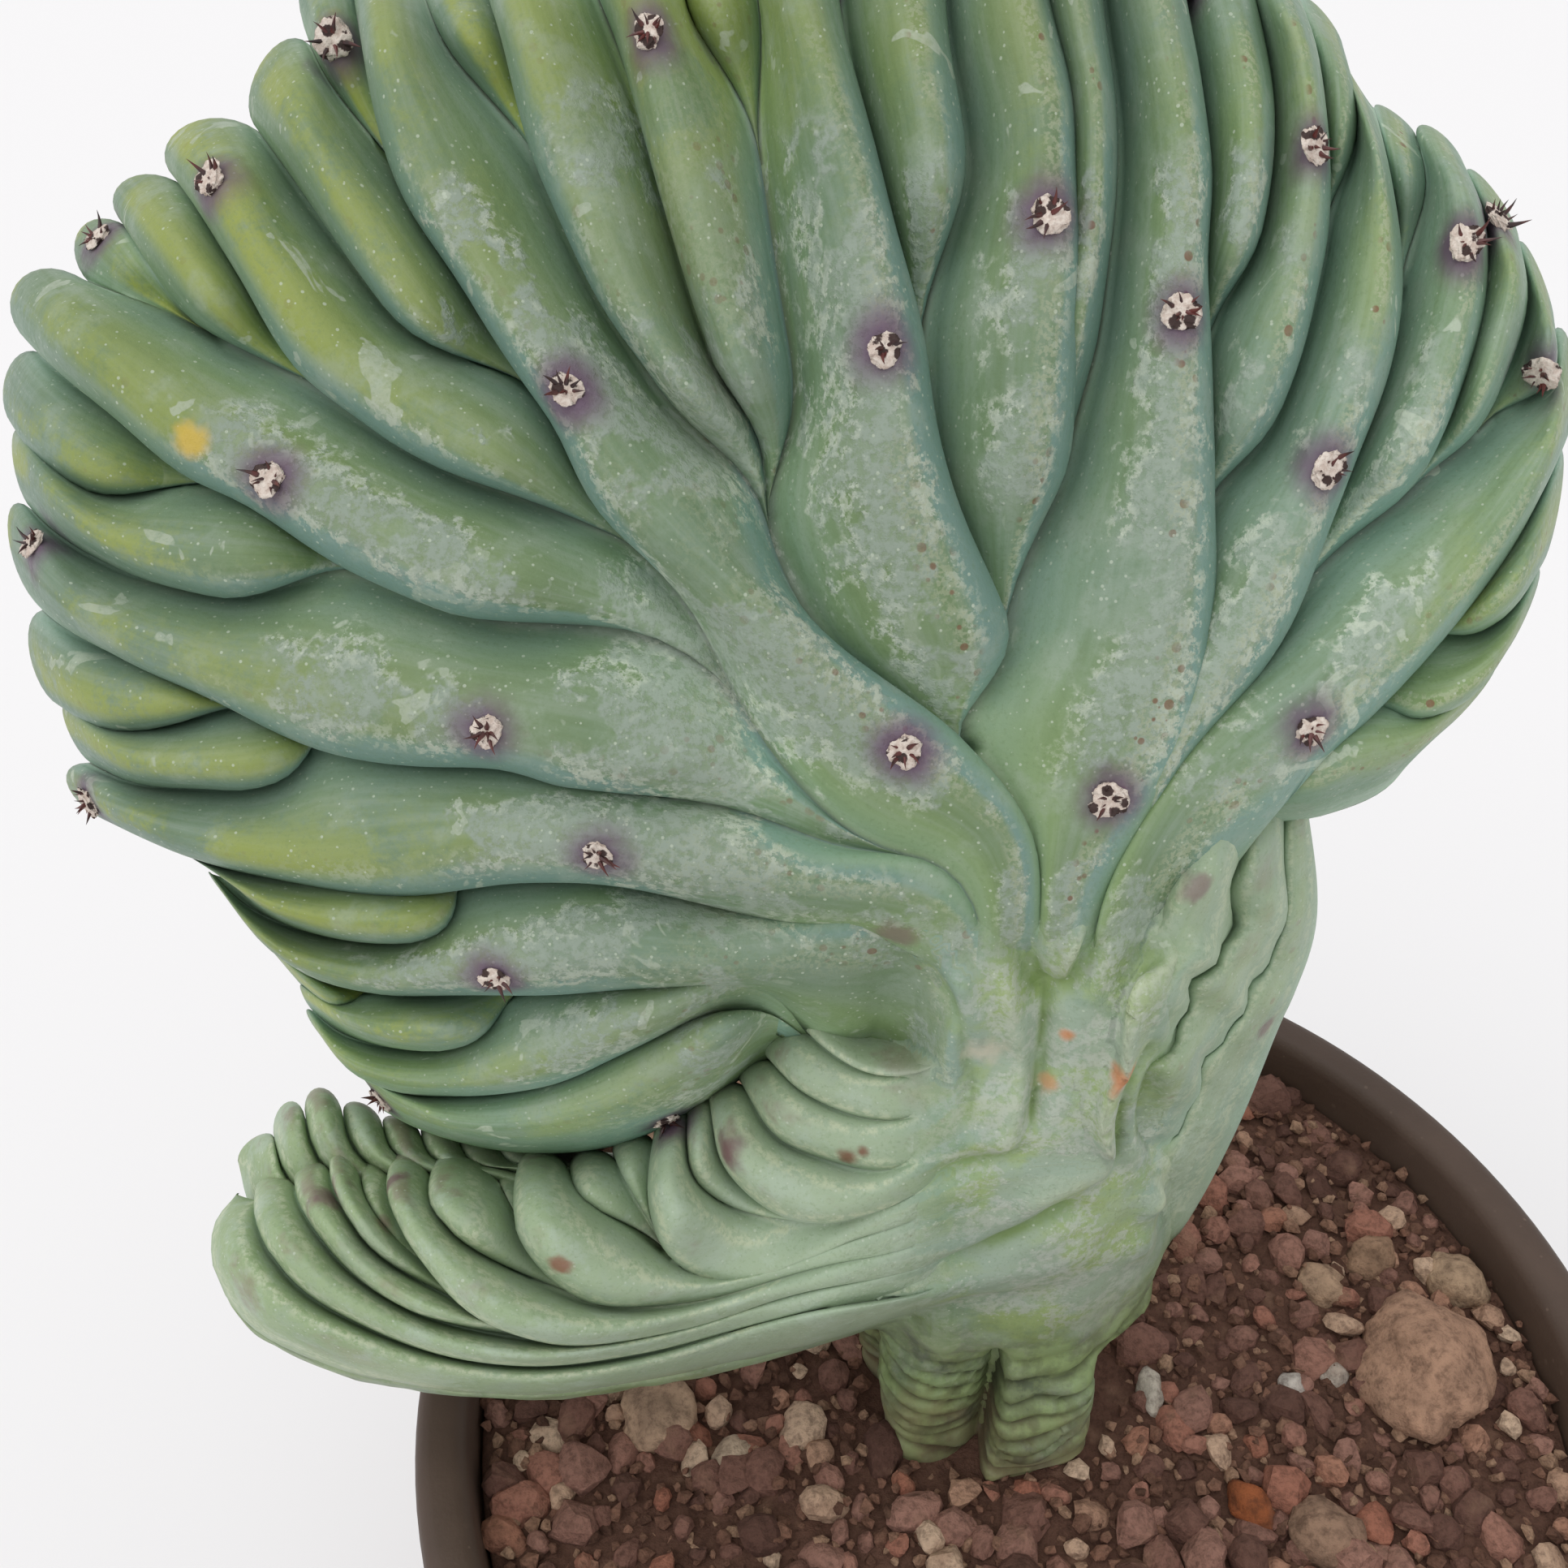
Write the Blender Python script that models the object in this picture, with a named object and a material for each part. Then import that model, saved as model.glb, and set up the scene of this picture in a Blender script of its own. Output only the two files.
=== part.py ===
import math

import bmesh
import bpy
import numpy as np
from mathutils import Matrix, Vector
from mathutils.bvhtree import BVHTree

for stale in list(bpy.data.objects):
    bpy.data.objects.remove(stale, do_unlink=True)

# Driving dimensions, in metres.
pot_rim_radius = 0.085
pot_height = 0.130
pot_foot_radius = 0.062
pot_wall = 0.0018
rim_width = 0.0075
rim_depth = 0.011
drain_radius = 0.005
drain_ring = 0.040
soil_top = 0.1215
soil_relief = 0.0022
gap = 0.0003
seam_weld = 0.000002
stem_plug_radius = 0.0100
stem_plug_depth = 0.024
rib_height = 0.0108
fan_core = 0.0045
areole_radius = 0.0021
spine_length = 0.0036
spine_radius = 0.00032
stem_foot_x = -0.0035

# The ribs are laid out on a sheet in front of an eye point and thrown along rays onto the plant.
# Sheet positions are millimetres to the right of and below the sheet's corner.
eye = np.array([-0.0337, -0.1200, pot_height + 0.1971])
eye_pitch = math.radians(38.3)
sheet_distance = 187.83
sheet_centre = 96.6
ahead = np.array([0.0, math.cos(eye_pitch), -math.sin(eye_pitch)])
upward = np.array([0.0, math.sin(eye_pitch), math.cos(eye_pitch)])
fan_lean = 0.488
valley_shift = 0.30
hub_height = pot_height + 0.088

# Each rib: its ridge from root to tip. A rib that starts at the trunk's foot begins below y = 180.
fan_left_side = [
    (109, 190), (107, 176), (107, 166), (106, 152), (106, 138), (102, 131), (95, 131), (87, 136), (76, 141),
    (66, 142), (57, 140.8), (50, 138.4), (46.6, 136.4),
]
fan_right_side = [
    (131, 190), (134.5, 177), (137, 168), (142, 160), (143.5, 150), (142.5, 136), (143, 122), (146, 109),
    (153, 102), (163, 100.5), (171, 97), (175.5, 91),
]
fan_ribs = [
    [(107, 121), (97, 122), (91, 127), (84, 132), (76, 136.5), (66, 139), (57, 138.8), (50.5, 137),
     (46, 134.6)],
    [(106, 118), (90, 120.5), (83, 124), (74, 128), (65, 131.5), (55, 133.3), (47, 132.6), (41.5, 130),
     (38.6, 126.4)],
    [(74, 120.5), (65, 125), (58, 127), (50, 127.5), (43, 126), (37.2, 122.4)],
    [(57, 122), (45, 123.8), (40, 122.8), (35.5, 119.5)],
    [(112, 190), (112, 172), (113, 150), (115, 135), (115.5, 124), (112, 117), (105, 118), (92, 118.5),
     (75, 118.5), (60, 119.5), (45, 120.5), (36, 118), (31, 114.5), (27, 109.5)],
    [(70, 107.5), (64, 109.5), (52, 113.5), (45, 114), (38, 113), (30, 110), (25, 106)],
    [(124, 121), (120.5, 113), (112, 110.5), (100, 109.5), (90, 107.5), (74, 105), (60, 104.5), (45, 106),
     (30, 105), (20, 102.5), (9, 98)],
    [(51, 92.5), (45, 93), (25, 94.5), (15, 93.5), (8, 89)],
    [(40, 90), (25, 87), (10, 86), (4, 82)],
    [(101, 97.5), (95, 95.5), (76, 93.5), (60, 90), (50, 89), (40, 87), (25, 82.5), (15, 78.5),
     (6, 72), (1, 66)],
    [(50, 74), (43, 72), (35, 70.5), (25, 69.5), (15, 67), (7, 62), (1.5, 56)],
    [(30, 64.5), (20, 61.5), (10, 57), (3, 51), (0.5, 47)],
    [(80, 80), (72, 75.5), (65, 74), (50, 68), (40, 63), (33, 59), (25, 55), (15, 47), (6, 39), (2, 35)],
    [(25, 42.5), (17, 36), (10, 28)],
    [(40, 50), (33, 45), (27, 38), (21, 30), (15, 22.5)],
    [(76, 70.5), (64, 59), (50, 50.5), (40, 43), (32, 32), (25, 20), (22, 16)],
    [(65, 53), (58, 46), (50, 36), (42, 24), (36, 14), (32, 8)],
    [(47, 22), (43, 12), (40, 2), (38, -5)],
    [(122.5, 190), (123.5, 172), (123, 150), (123, 135), (125, 120), (124, 104), (111.5, 92.5), (98, 80),
     (85, 68), (76, 58), (69.7, 48), (61, 35), (53, 22), (48, 8), (46, -4)],
    [(67, 22), (62, 12), (57, 2), (54, -6)],
    [(98, 64), (88, 52), (78, 38), (72, 24), (67, 10), (64, 0), (62, -8)],
    [(99.5, 65), (94, 52), (90, 40), (85.5, 25), (82, 12), (79, 0), (76, -10)],
    [(93, 20), (91, 10), (88, 0), (86, -12)],
    [(126, 97), (122, 88), (116.5, 74), (111, 58), (109, 43), (106.5, 28), (103, 14), (99, 0), (96, -14)],
    [(115, 43), (115.5, 32), (115.5, 20), (113, 5), (111, -8), (108, -17)],
    [(126.8, 77), (127.5, 56), (129, 40), (129.5, 26), (129, 12), (126, 0), (124, -10), (121, -19)],
    [(130, 61), (131.5, 48), (133.5, 36), (135, 24), (135, 12), (133, 0), (131, -18)],
    [(126, 190), (128.5, 172), (129.5, 150), (130.5, 135), (130.5, 122), (132, 110), (137, 98.5), (142, 88),
     (144.5, 74), (145.5, 60), (146, 47), (146, 33), (146.5, 20), (145, 9), (143, 0), (140, -15)],
    [(147.8, 50), (150, 38), (153.5, 27), (154.5, 13), (152, 0), (149, -10)],
    [(146, 69), (150, 60), (155, 49), (160, 34), (162, 18), (160, 4), (156.5, -5)],
    [(161, 35), (164.5, 22), (165.5, 10), (163.5, 2)],
    [(136, 116), (139, 105), (145, 92), (154, 78), (160.5, 65), (165, 54), (169, 42), (170.5, 28),
     (169.5, 18), (167, 10)],
    [(171, 41), (173, 30), (173.5, 22), (172, 14)],
    [(160, 72), (166, 65), (174, 55), (178.5, 45), (181, 34), (180.5, 24), (177, 16)],
    [(171, 64), (180, 53), (184.5, 43), (186.5, 34), (184.5, 24)],
    [(181, 58), (188, 50), (191, 43), (190, 34)],
    [(129, 190), (132.5, 172), (137.5, 152), (138, 135), (139, 120), (143, 108), (151, 98), (161, 90.5),
     (170, 82), (180, 72), (186, 64), (191.5, 54), (194, 46)],
    [(168, 85), (175, 81), (182, 76), (188, 70), (192, 63)],
    [(160, 92.5), (168, 90), (176, 87), (184, 82), (188, 76)],
    [(146, 102), (155, 97.5), (165, 94.5), (174, 92), (181, 87)],
]

lobe_left_side = [
    (142, 156), (132, 159), (120, 161), (112, 162), (104, 164.5), (95, 167), (76, 171), (65, 172.5),
    (56, 171.5), (40, 168), (30, 162), (26.5, 155), (27, 150), (29.5, 147),
]
lobe_right_side = [(142, 123), (131, 121), (122, 122), (113, 125), (107, 125), (102, 122), (100, 119)]
lobe_ribs = [
    [(142, 154.5), (131, 157.3), (120, 159.3), (106, 162.5), (95, 165), (80, 169), (66, 170.9), (55, 170),
     (42, 166.4), (32, 161), (28.2, 155), (28, 150.7), (29.8, 147.4)],
    [(142, 152.5), (131, 154.7), (120, 156.2), (106, 159.2), (95, 161.8), (80, 165.8), (66, 167.3), (56, 166),
     (46, 162.2), (38, 156.8), (34, 151.5), (32.8, 148), (33, 144.9)],
    [(75, 164.6), (62, 163.8), (51, 160.4), (44, 155.5), (40, 150.5), (38, 146.8), (37.6, 143)],
    [(63, 162), (53, 158.4), (47, 153.8), (43.6, 149), (42, 145.2), (41.8, 141.4)],
    [(55, 159.5), (49.5, 155.5), (46.8, 151), (45.5, 147), (45.7, 143)],
    [(142, 150), (131, 152), (120, 153.5), (108, 156.5), (99, 158.5), (85, 163), (70, 164.5), (62, 162),
     (55, 156), (51, 151), (49.2, 146.5), (49.8, 142)],
    [(72, 160.5), (63, 157), (57.5, 152), (55.2, 147), (55.8, 142.3)],
    [(64, 152.5), (60.8, 148.5), (61.3, 143.2)],
    [(142, 147), (131, 148.5), (120, 149.5), (110, 153), (100, 155.5), (88, 159), (76, 159), (70, 155),
     (66.7, 150.5), (66, 146), (66.3, 141.7)],
    [(82, 156.5), (76, 152.5), (72, 147.5), (71.8, 141.7)],
    [(84, 153.5), (79.5, 149.5), (77, 145.5), (76.5, 140.5)],
    [(142, 144), (131, 145), (120, 146), (110, 150), (101, 154), (92, 156.5), (86, 153.5), (82.5, 147),
     (82.5, 138.5)],
    [(100, 151.5), (92, 150), (87, 146), (85.5, 137)],
    [(142, 140.5), (131, 141), (120, 141.5), (112, 146), (104, 148.5), (97, 147), (91, 142.5), (88, 135.5)],
    [(142, 136.5), (131, 136), (120, 136), (112, 140.5), (104, 141), (98, 139), (91.5, 133)],
    [(142, 132.5), (131, 131.5), (120, 131.5), (112, 135), (105, 135), (100, 133), (94.5, 129)],
    [(142, 128.5), (131, 127), (121, 126.5), (113, 129.5), (107, 129.5), (102, 127), (98, 123)],
]

lobe_back_left_side = [(108, 156.3), (85, 158.5), (60, 159), (40.5, 155), (31, 149), (29.3, 143)]
lobe_back_right_side = [(108, 143.6), (95, 143), (84, 142.6), (77, 142.2), (73, 141.6), (71, 140.8)]
lobe_back_ribs = [
    [(108, 155), (85, 157), (60, 157), (42, 152.5), (33.5, 147), (31.6, 140)],
    [(108, 153.7), (85, 155.2), (60, 154.5), (44, 149.5), (37, 143.5), (35, 136)],
    [(108, 152.4), (85, 153.5), (62, 152), (47.5, 147), (41, 141.5), (39.3, 134)],
    [(108, 151.1), (85, 151.8), (64, 150), (51.5, 145.5), (46, 141.5), (44.3, 135.8)],
    [(108, 149.8), (86, 150.2), (67, 148.2), (56, 145), (50.5, 142), (49, 137.5)],
    [(108, 148.5), (88, 148.6), (70, 146.8), (60.5, 144.5), (55.3, 142.5), (53.7, 138.5)],
    [(108, 147.2), (90, 147), (74, 145.6), (65, 144), (60, 143), (58.3, 140)],
    [(108, 146), (92, 145.6), (78, 144.6), (69.5, 143.8), (65, 142.8), (63, 140.5)],
    [(108, 144.8), (94, 144.3), (82, 143.8), (74.5, 143.3), (70, 142.6), (68, 140.8)],
]

flange_left_side = [(124, 138), (126, 124), (128, 110), (130, 96)]
flange_right_side = [(138, 161), (146, 151), (152, 140), (157, 128), (162, 115), (160.5, 95)]
flange_ribs = [
    [(126, 146), (129, 132), (132, 119), (135, 109), (135, 94)],
    [(128, 152), (136, 138), (143, 122), (148, 111), (150, 93)],
    [(131, 155), (141, 141), (148, 127), (155, 115), (156, 94)],
    [(134.5, 158), (144, 147), (151, 133), (159.5, 116), (160, 96)],
]


def smooth(x):
    x = min(max(x, 0.0), 1.0)
    return x * x * (3 - 2 * x)


def blend(x, *knots):
    """A smooth run through the given heights, level before the first knot and after the last."""
    for (start, low), (end, high) in zip(knots, knots[1:]):
        if x < end:
            return low + (high - low) * smooth((x - start) / (end - start))
    return knots[-1][1]


def rounding(back, reach):
    """0 at a tip, and 1 from a given reach behind it, along a quarter circle."""
    return math.sqrt(max(0.0, 1 - (1 - min(back / reach, 1.0)) ** 2))


def on_ray(spot, depth):
    side = (spot[0] - sheet_centre) / sheet_distance
    rise = (sheet_centre - spot[1]) / sheet_distance
    return eye + depth * (ahead + side * np.array([1.0, 0, 0]) + rise * upward)


def wall_slant(spot):
    """How squarely a ray meets an upright wall."""
    return ahead[1] + (sheet_centre - spot[1]) / sheet_distance * upward[1]


def depth_of_wall(y, lean, shift):
    """Depth along a ray to an upright wall moved back by shift, or to one that leans back from the hub."""
    rise = (sheet_centre - y) / sheet_distance
    along = ahead[1] + rise * upward[1]
    climb = ahead[2] + rise * upward[2]
    return (shift - eye[1] + lean * (eye[2] - hub_height)) / (along - lean * climb)


def fan_depth(spot):
    x, y = spot
    upright = depth_of_wall(y, 0.0, 0.0)
    leaning = depth_of_wall(y, fan_lean, 0.0)
    softness = 0.005
    joined = softness * np.logaddexp(upright / softness, leaning / softness)
    away = math.hypot(x - 110, y - 75) / 100
    spread = smooth((150 - y) / 60)
    return joined + spread * (0.011 * away**2 - 0.006)


def fan_slant(spot):
    """How squarely a ray meets the fan."""
    upright = wall_slant(spot)
    return upright + (1 - upright) * smooth((128 - spot[1]) / 38)


def lobe_depth(spot):
    forward = smooth((spot[1] - 138) / 34) * smooth((122 - spot[0]) / 22)
    return depth_of_wall(spot[1], 0.0, 0.001 - 0.015 * forward)


def lobe_back_depth(spot):
    return lobe_depth(spot) + 0.009 * smooth((112 - spot[0]) / 25)


def flange_depth(spot):
    return depth_of_wall(spot[1], 0.0, 0.003)


class Track:
    """A smooth curve on the sheet, read by the distance from its tip."""

    def __init__(self, points):
        given = np.array(points, float)
        chord = np.concatenate([[0], np.cumsum(np.linalg.norm(np.diff(given, axis=0), axis=1))])
        slope = np.gradient(given, chord, axis=0)
        fine = np.linspace(0, chord[-1], 20 * len(given))
        span = np.clip(np.searchsorted(chord, fine, side="right") - 1, 0, len(given) - 2)
        step = (chord[span + 1] - chord[span])[:, None]
        f = (fine - chord[span])[:, None] / step
        self.line = (2 * f**3 - 3 * f**2 + 1) * given[span] + (f**3 - 2 * f**2 + f) * step * slope[span]
        self.line += (3 * f**2 - 2 * f**3) * given[span + 1] + (f**3 - f**2) * step * slope[span + 1]
        run = np.concatenate([[0], np.cumsum(np.linalg.norm(np.diff(self.line, axis=0), axis=1))])
        self.length = run[-1]
        self.back = run - self.length

    def at(self, back):
        return np.array([np.interp(-back, self.back, self.line[:, axis]) for axis in (0, 1)])


class RibbedSheet:
    """Two ribbed faces that share their sides and, at the tips, the growth line."""

    deepest_notch = 6.5
    tip_reach = 10.0
    opening = 22.0

    def __init__(self, left, right, ribs, depth_at, slant_at, core, height, squareness, valley_at, rear=1.0):
        self.sides = Track(left), Track(right)
        self.tracks = [Track(points) for points in ribs]
        self.count = len(ribs)
        self.depth_at = depth_at
        self.slant_at = slant_at
        self.core = core
        self.height = height
        self.squareness = squareness
        self.valley_at = valley_at
        self.rear = rear
        feet = np.array([points[0] for points in ribs], float)
        anchor = (np.array(left[0], float) + np.array(right[0], float)) / 2
        reach = np.linalg.norm(np.array(left[0], float) - np.array(right[0], float)) / 2 + 2
        self.whole = [np.linalg.norm(foot - anchor) <= reach for foot in feet]
        anchors = [i for i in range(self.count) if self.whole[i]]
        lengths = [self.sides[0].length] + [self.tracks[i].length for i in anchors] + [self.sides[1].length]
        self.total = np.interp(range(self.count), [-1] + anchors + [self.count], lengths)
        tips = np.array([points[-1] for points in ribs], float)
        apart = np.linalg.norm(np.diff(tips, axis=0), axis=1)
        beside = np.convolve(np.concatenate([apart[:1], apart, apart[-1:]]), [0.5, 0.5], "valid")
        outline = np.gradient(tips, axis=0)
        endings = tips - np.array([track.at(7.0) for track in self.tracks])
        across = np.abs(outline[:, 0] * endings[:, 1] - outline[:, 1] * endings[:, 0])
        across /= np.linalg.norm(outline, axis=1) * np.linalg.norm(endings, axis=1)
        self.notch = np.clip(0.62 * beside * across, 0.8, self.deepest_notch)

    def plan(self, level):
        """Where the ridges and the valleys cross one ring, and how far each rib has opened."""
        run = (1 - level) * self.total
        present = []
        for i, track in enumerate(self.tracks):
            present.append(1.0 if self.whole[i] else smooth((track.length - run[i]) / self.opening))
        edges = [side.at((1 - level) * side.length) for side in self.sides]
        ridge = [track.at(run[i]) for i, track in enumerate(self.tracks)]
        inner = [track.at(math.hypot(run[i], self.notch[i])) for i, track in enumerate(self.tracks)]
        from_left = [edges[0]]
        from_right = [edges[1]]
        for i in range(self.count):
            from_left.append(present[i] * inner[i] + (1 - present[i]) * from_left[-1])
        for i in reversed(range(self.count)):
            from_right.insert(0, present[i] * inner[i] + (1 - present[i]) * from_right[0])
        valley = []
        for b in range(self.count + 1):
            some_left = 1 - np.prod([1 - share for share in present[:b]])
            some_right = 1 - np.prod([1 - share for share in present[b:]])
            share = self.valley_at(level, 0.5 * (from_left[b] + from_right[b])[0])
            middle = (1 - share) * from_left[b] + share * from_right[b]
            spot = middle * some_left * some_right + edges[0] * (1 - some_left)
            valley.append(spot + edges[1] * (1 - some_right) * some_left)
        steps = np.linalg.norm(np.diff(valley, axis=0), axis=1)
        place = np.clip(np.concatenate([[0], np.cumsum(steps)]) / steps.sum() * 2 - 1, -1, 1)
        return run, present, ridge, valley, place

    def point(self, spot, face, offset):
        """The point a true distance in front of the sheet's middle, or behind it."""
        signed = face * offset * (self.rear if face > 0 else 1.0)
        return on_ray(spot, self.depth_at(spot) + signed / self.slant_at(spot))

    def label(self, present, b):
        """The same label for every valley that a rib not yet begun leaves at one point."""
        if not any(present[:b]):
            return "left"
        if not any(present[b:]):
            return "right"
        return self.label(present, b - 1) if present[b - 1] == 0 else b

    def thickness(self, level, spot, place, back):
        power = self.squareness(level, place)
        full = self.core(level, spot) * (1 - abs(place) ** power) ** (1 / power)
        return full * rounding(back, self.tip_reach)

    def ring(self, level, face, across, last):
        """One face's crossing of a ring, as keys and points, with repeats where ribs haven't begun."""
        run, present, ridge, valley, place = self.plan(level)
        side = 0 if last else face
        labels = [self.label(present, b) for b in range(self.count + 1)]
        floors = []
        for b, label in enumerate(labels):
            back = 0.5 * (run[max(b - 1, 0)] + run[min(b, self.count - 1)])
            thin = label in ("left", "right")
            floors.append(0.0 if thin else self.thickness(level, valley[b], place[b], back))
        row = []
        for b, label in enumerate(labels):
            key = (0, label) if label in ("left", "right") else (side, label)
            spot = valley[b]
            start = key, self.point(spot, face, floors[b])
            row.append(start)
            if b == self.count:
                break
            if present[b] == 0:
                row.extend([start] * (across - 1))
                continue
            middle = 0.5 * (valley[b] + valley[b + 1])
            reach = present[b] * (ridge[b] - middle)
            centre = 0.5 * (place[b] + place[b + 1])
            full = self.thickness(level, middle, centre, run[b])
            crest = self.height(level, middle) * present[b] * rounding(run[b], self.tip_reach)
            width = np.linalg.norm(valley[b + 1] - valley[b])
            crest *= 0.35 + 0.65 * full / (self.core(level, middle) + 1e-9)
            crest *= 0.55 + 0.45 * smooth(width / 9)
            top = full + crest - 0.5 * (floors[b] + floors[b + 1])
            for k in range(1, across):
                angle = math.pi * k / across
                v = 0.5 - 0.5 * math.cos(angle)
                lift = math.sin(angle) ** 0.9
                spot = valley[b] * (1 - v) + valley[b + 1] * v + reach * lift
                offset = floors[b] * (1 - v) + floors[b + 1] * v + top * lift
                row.append(((side, b, k), self.point(spot, face, offset)))
        return row

    def body(self, name, levels, across):
        shape = bmesh.new()
        known = {}

        def corners(number, row):
            made = []
            for key, point in row:
                if (number, key) not in known:
                    known[number, key] = shape.verts.new(point)
                made.append(known[number, key])
            return made

        def patch(*around):
            kept = list(dict.fromkeys(around))
            if len(kept) > 2 and shape.faces.get(kept) is None:
                shape.faces.new(kept)

        rings = []
        for number, level in enumerate(levels):
            last = number == len(levels) - 1
            rings.append([corners(number, self.ring(level, face, across, last)) for face in (-1, 1)])
        for lower, upper in zip(rings, rings[1:]):
            for face in (0, 1):
                a, b = lower[face], upper[face]
                for k in range(len(a) - 1):
                    patch(a[k], a[k + 1], b[k + 1], b[k])
        foot = list(dict.fromkeys(rings[0][0] + rings[0][1][::-1]))
        centre = shape.verts.new(sum((corner.co for corner in foot), Vector()) / len(foot))
        for k, corner in enumerate(foot):
            patch(corner, foot[k - 1], centre)
        bmesh.ops.triangulate(shape, faces=shape.faces)
        bmesh.ops.recalc_face_normals(shape, faces=shape.faces)
        return keep(shape, name)


def keep(shape, name):
    """Turns a bmesh into a linked object."""
    mesh = bpy.data.meshes.new(name)
    shape.to_mesh(mesh)
    shape.free()
    made = bpy.data.objects.new(name, mesh)
    bpy.context.scene.collection.objects.link(made)
    return made


def material(name, colour, roughness):
    made = bpy.data.materials.new(name)
    made.use_nodes = True
    shader = made.node_tree.nodes["Principled BSDF"]
    shader.inputs["Base Color"].default_value = (*colour, 1)
    shader.inputs["Roughness"].default_value = roughness
    shader.inputs["Metallic"].default_value = 0
    return made


def outer_shell(mesh):
    """The mesh with sealed hollows filled and loose scraps dropped: only its largest shell stays."""
    shape = bmesh.new()
    shape.from_mesh(mesh)
    bmesh.ops.remove_doubles(shape, verts=shape.verts, dist=seam_weld)
    bmesh.ops.dissolve_degenerate(shape, edges=shape.edges, dist=seam_weld)
    unseen = set(shape.faces)
    shells = []
    while unseen:
        shell = {unseen.pop()}
        front = list(shell)
        while front:
            face = front.pop()
            plain = [edge for edge in face.edges if len(edge.link_faces) == 2]
            near = {other for edge in plain for other in edge.link_faces} & unseen
            unseen -= near
            shell |= near
            front.extend(near)
        shells.append(shell)
    largest = max(shells, key=len)
    bmesh.ops.delete(shape, geom=[face for face in shape.faces if face not in largest], context="FACES")
    shape.to_mesh(mesh)
    shape.free()
    return mesh


def fused(base, pieces, operation="UNION"):
    """The base with every piece joined on or cut away, as one mesh."""
    group = bpy.data.collections.new("pieces")
    for piece in pieces:
        bpy.context.scene.collection.objects.unlink(piece)
        group.objects.link(piece)
    joint = base.modifiers.new("joint", "BOOLEAN")
    joint.operand_type = "COLLECTION"
    joint.collection = group
    joint.operation = operation
    joint.solver = "MANIFOLD"
    bpy.context.view_layer.update()
    solid = bpy.data.meshes.new_from_object(base.evaluated_get(bpy.context.evaluated_depsgraph_get()))
    base.modifiers.clear()
    base.data = outer_shell(solid)
    for piece in pieces:
        bpy.data.objects.remove(piece, do_unlink=True)
    bpy.data.collections.remove(group)


def cut_at_ground(mesh, height):
    """Cuts away what lies below a level and closes the cut."""
    shape = bmesh.new()
    shape.from_mesh(mesh)
    parts = shape.verts[:] + shape.edges[:] + shape.faces[:]
    bmesh.ops.bisect_plane(shape, geom=parts, plane_co=(0, 0, height), plane_no=(0, 0, 1), clear_inner=True)
    rims = [edge for edge in shape.edges if edge.is_boundary]
    bmesh.ops.triangle_fill(shape, use_beauty=True, edges=rims)
    bmesh.ops.recalc_face_normals(shape, faces=shape.faces)
    shape.to_mesh(mesh)
    shape.free()


def cylinder(name, radius, bottom, top, sides, centre=(0.0, 0.0)):
    shape = bmesh.new()
    middle = Matrix.Translation((centre[0], centre[1], (bottom + top) / 2))
    bmesh.ops.create_cone(shape, cap_ends=True, segments=sides, radius1=radius, radius2=radius,
                          depth=top - bottom, matrix=middle)
    return keep(shape, name)


def turned(name, profile, sides):
    """A closed body of revolution from a profile of radii and heights that runs from axis to axis."""
    shape = bmesh.new()
    loop = [shape.verts.new((radius, 0, height)) for radius, height in profile]
    edges = [shape.edges.new(pair) for pair in zip(loop, loop[1:] + loop[:1])]
    bmesh.ops.spin(shape, geom=loop + edges, axis=(0, 0, 1), cent=(0, 0, 0), angle=math.tau, steps=sides,
                   use_merge=True)
    bmesh.ops.remove_doubles(shape, verts=shape.verts, dist=1e-6)
    bmesh.ops.dissolve_degenerate(shape, edges=shape.edges, dist=1e-7)
    bmesh.ops.recalc_face_normals(shape, faces=shape.faces)
    return keep(shape, name)


def wall_radius(height):
    """Outer radius of the tapered pot wall."""
    return pot_foot_radius + (pot_rim_radius - 0.004 - pot_foot_radius) * height / pot_height


skin = material("cactus_skin", (0.19, 0.31, 0.20), 0.55)
plastic = material("pot_plastic", (0.075, 0.052, 0.036), 0.55)
gravel = material("soil_gravel", (0.16, 0.085, 0.058), 0.95)

# Pot: a turned shell with a rolled rim and drain holes through its floor.
rim_inner = pot_rim_radius - rim_width
shell = [
    (0.0, 0.0), (pot_foot_radius - 0.004, 0.0), (pot_foot_radius - 0.001, 0.0008), (pot_foot_radius, 0.003),
    (wall_radius(pot_height - rim_depth), pot_height - rim_depth),
    (pot_rim_radius - 0.0012, pot_height - rim_depth), (pot_rim_radius, pot_height - rim_depth + 0.0012),
    (pot_rim_radius, pot_height - 0.003), (pot_rim_radius - 0.001, pot_height - 0.0008),
    (pot_rim_radius - 0.0032, pot_height), (rim_inner + 0.0024, pot_height - 0.0003),
    (rim_inner + 0.0006, pot_height - 0.0018), (rim_inner, pot_height - 0.005),
    (wall_radius(pot_height - rim_depth - 0.004) - pot_wall, pot_height - rim_depth - 0.004),
    (wall_radius(0.006) - pot_wall, 0.006), (wall_radius(0.004) - pot_wall - 0.003, 0.0026), (0.0, 0.0026),
]
pot = turned("pot", shell, 44)
drains = []
for turn in range(5):
    angle = math.tau * (turn + 0.5) / 5
    place = (drain_ring * math.cos(angle), drain_ring * math.sin(angle))
    drains.append(cylinder("drain", drain_radius, -0.01, 0.012, 12, place))
fused(pot, drains, "DIFFERENCE")


def bore_radius(height):
    """Inner radius of the pot at a height, less the gap that the soil keeps to it."""
    line = shell[12:16]
    heights = [point[1] for point in line[::-1]]
    radii = [point[0] for point in line[::-1]]
    return float(np.interp(height, heights, radii)) - gap


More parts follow.
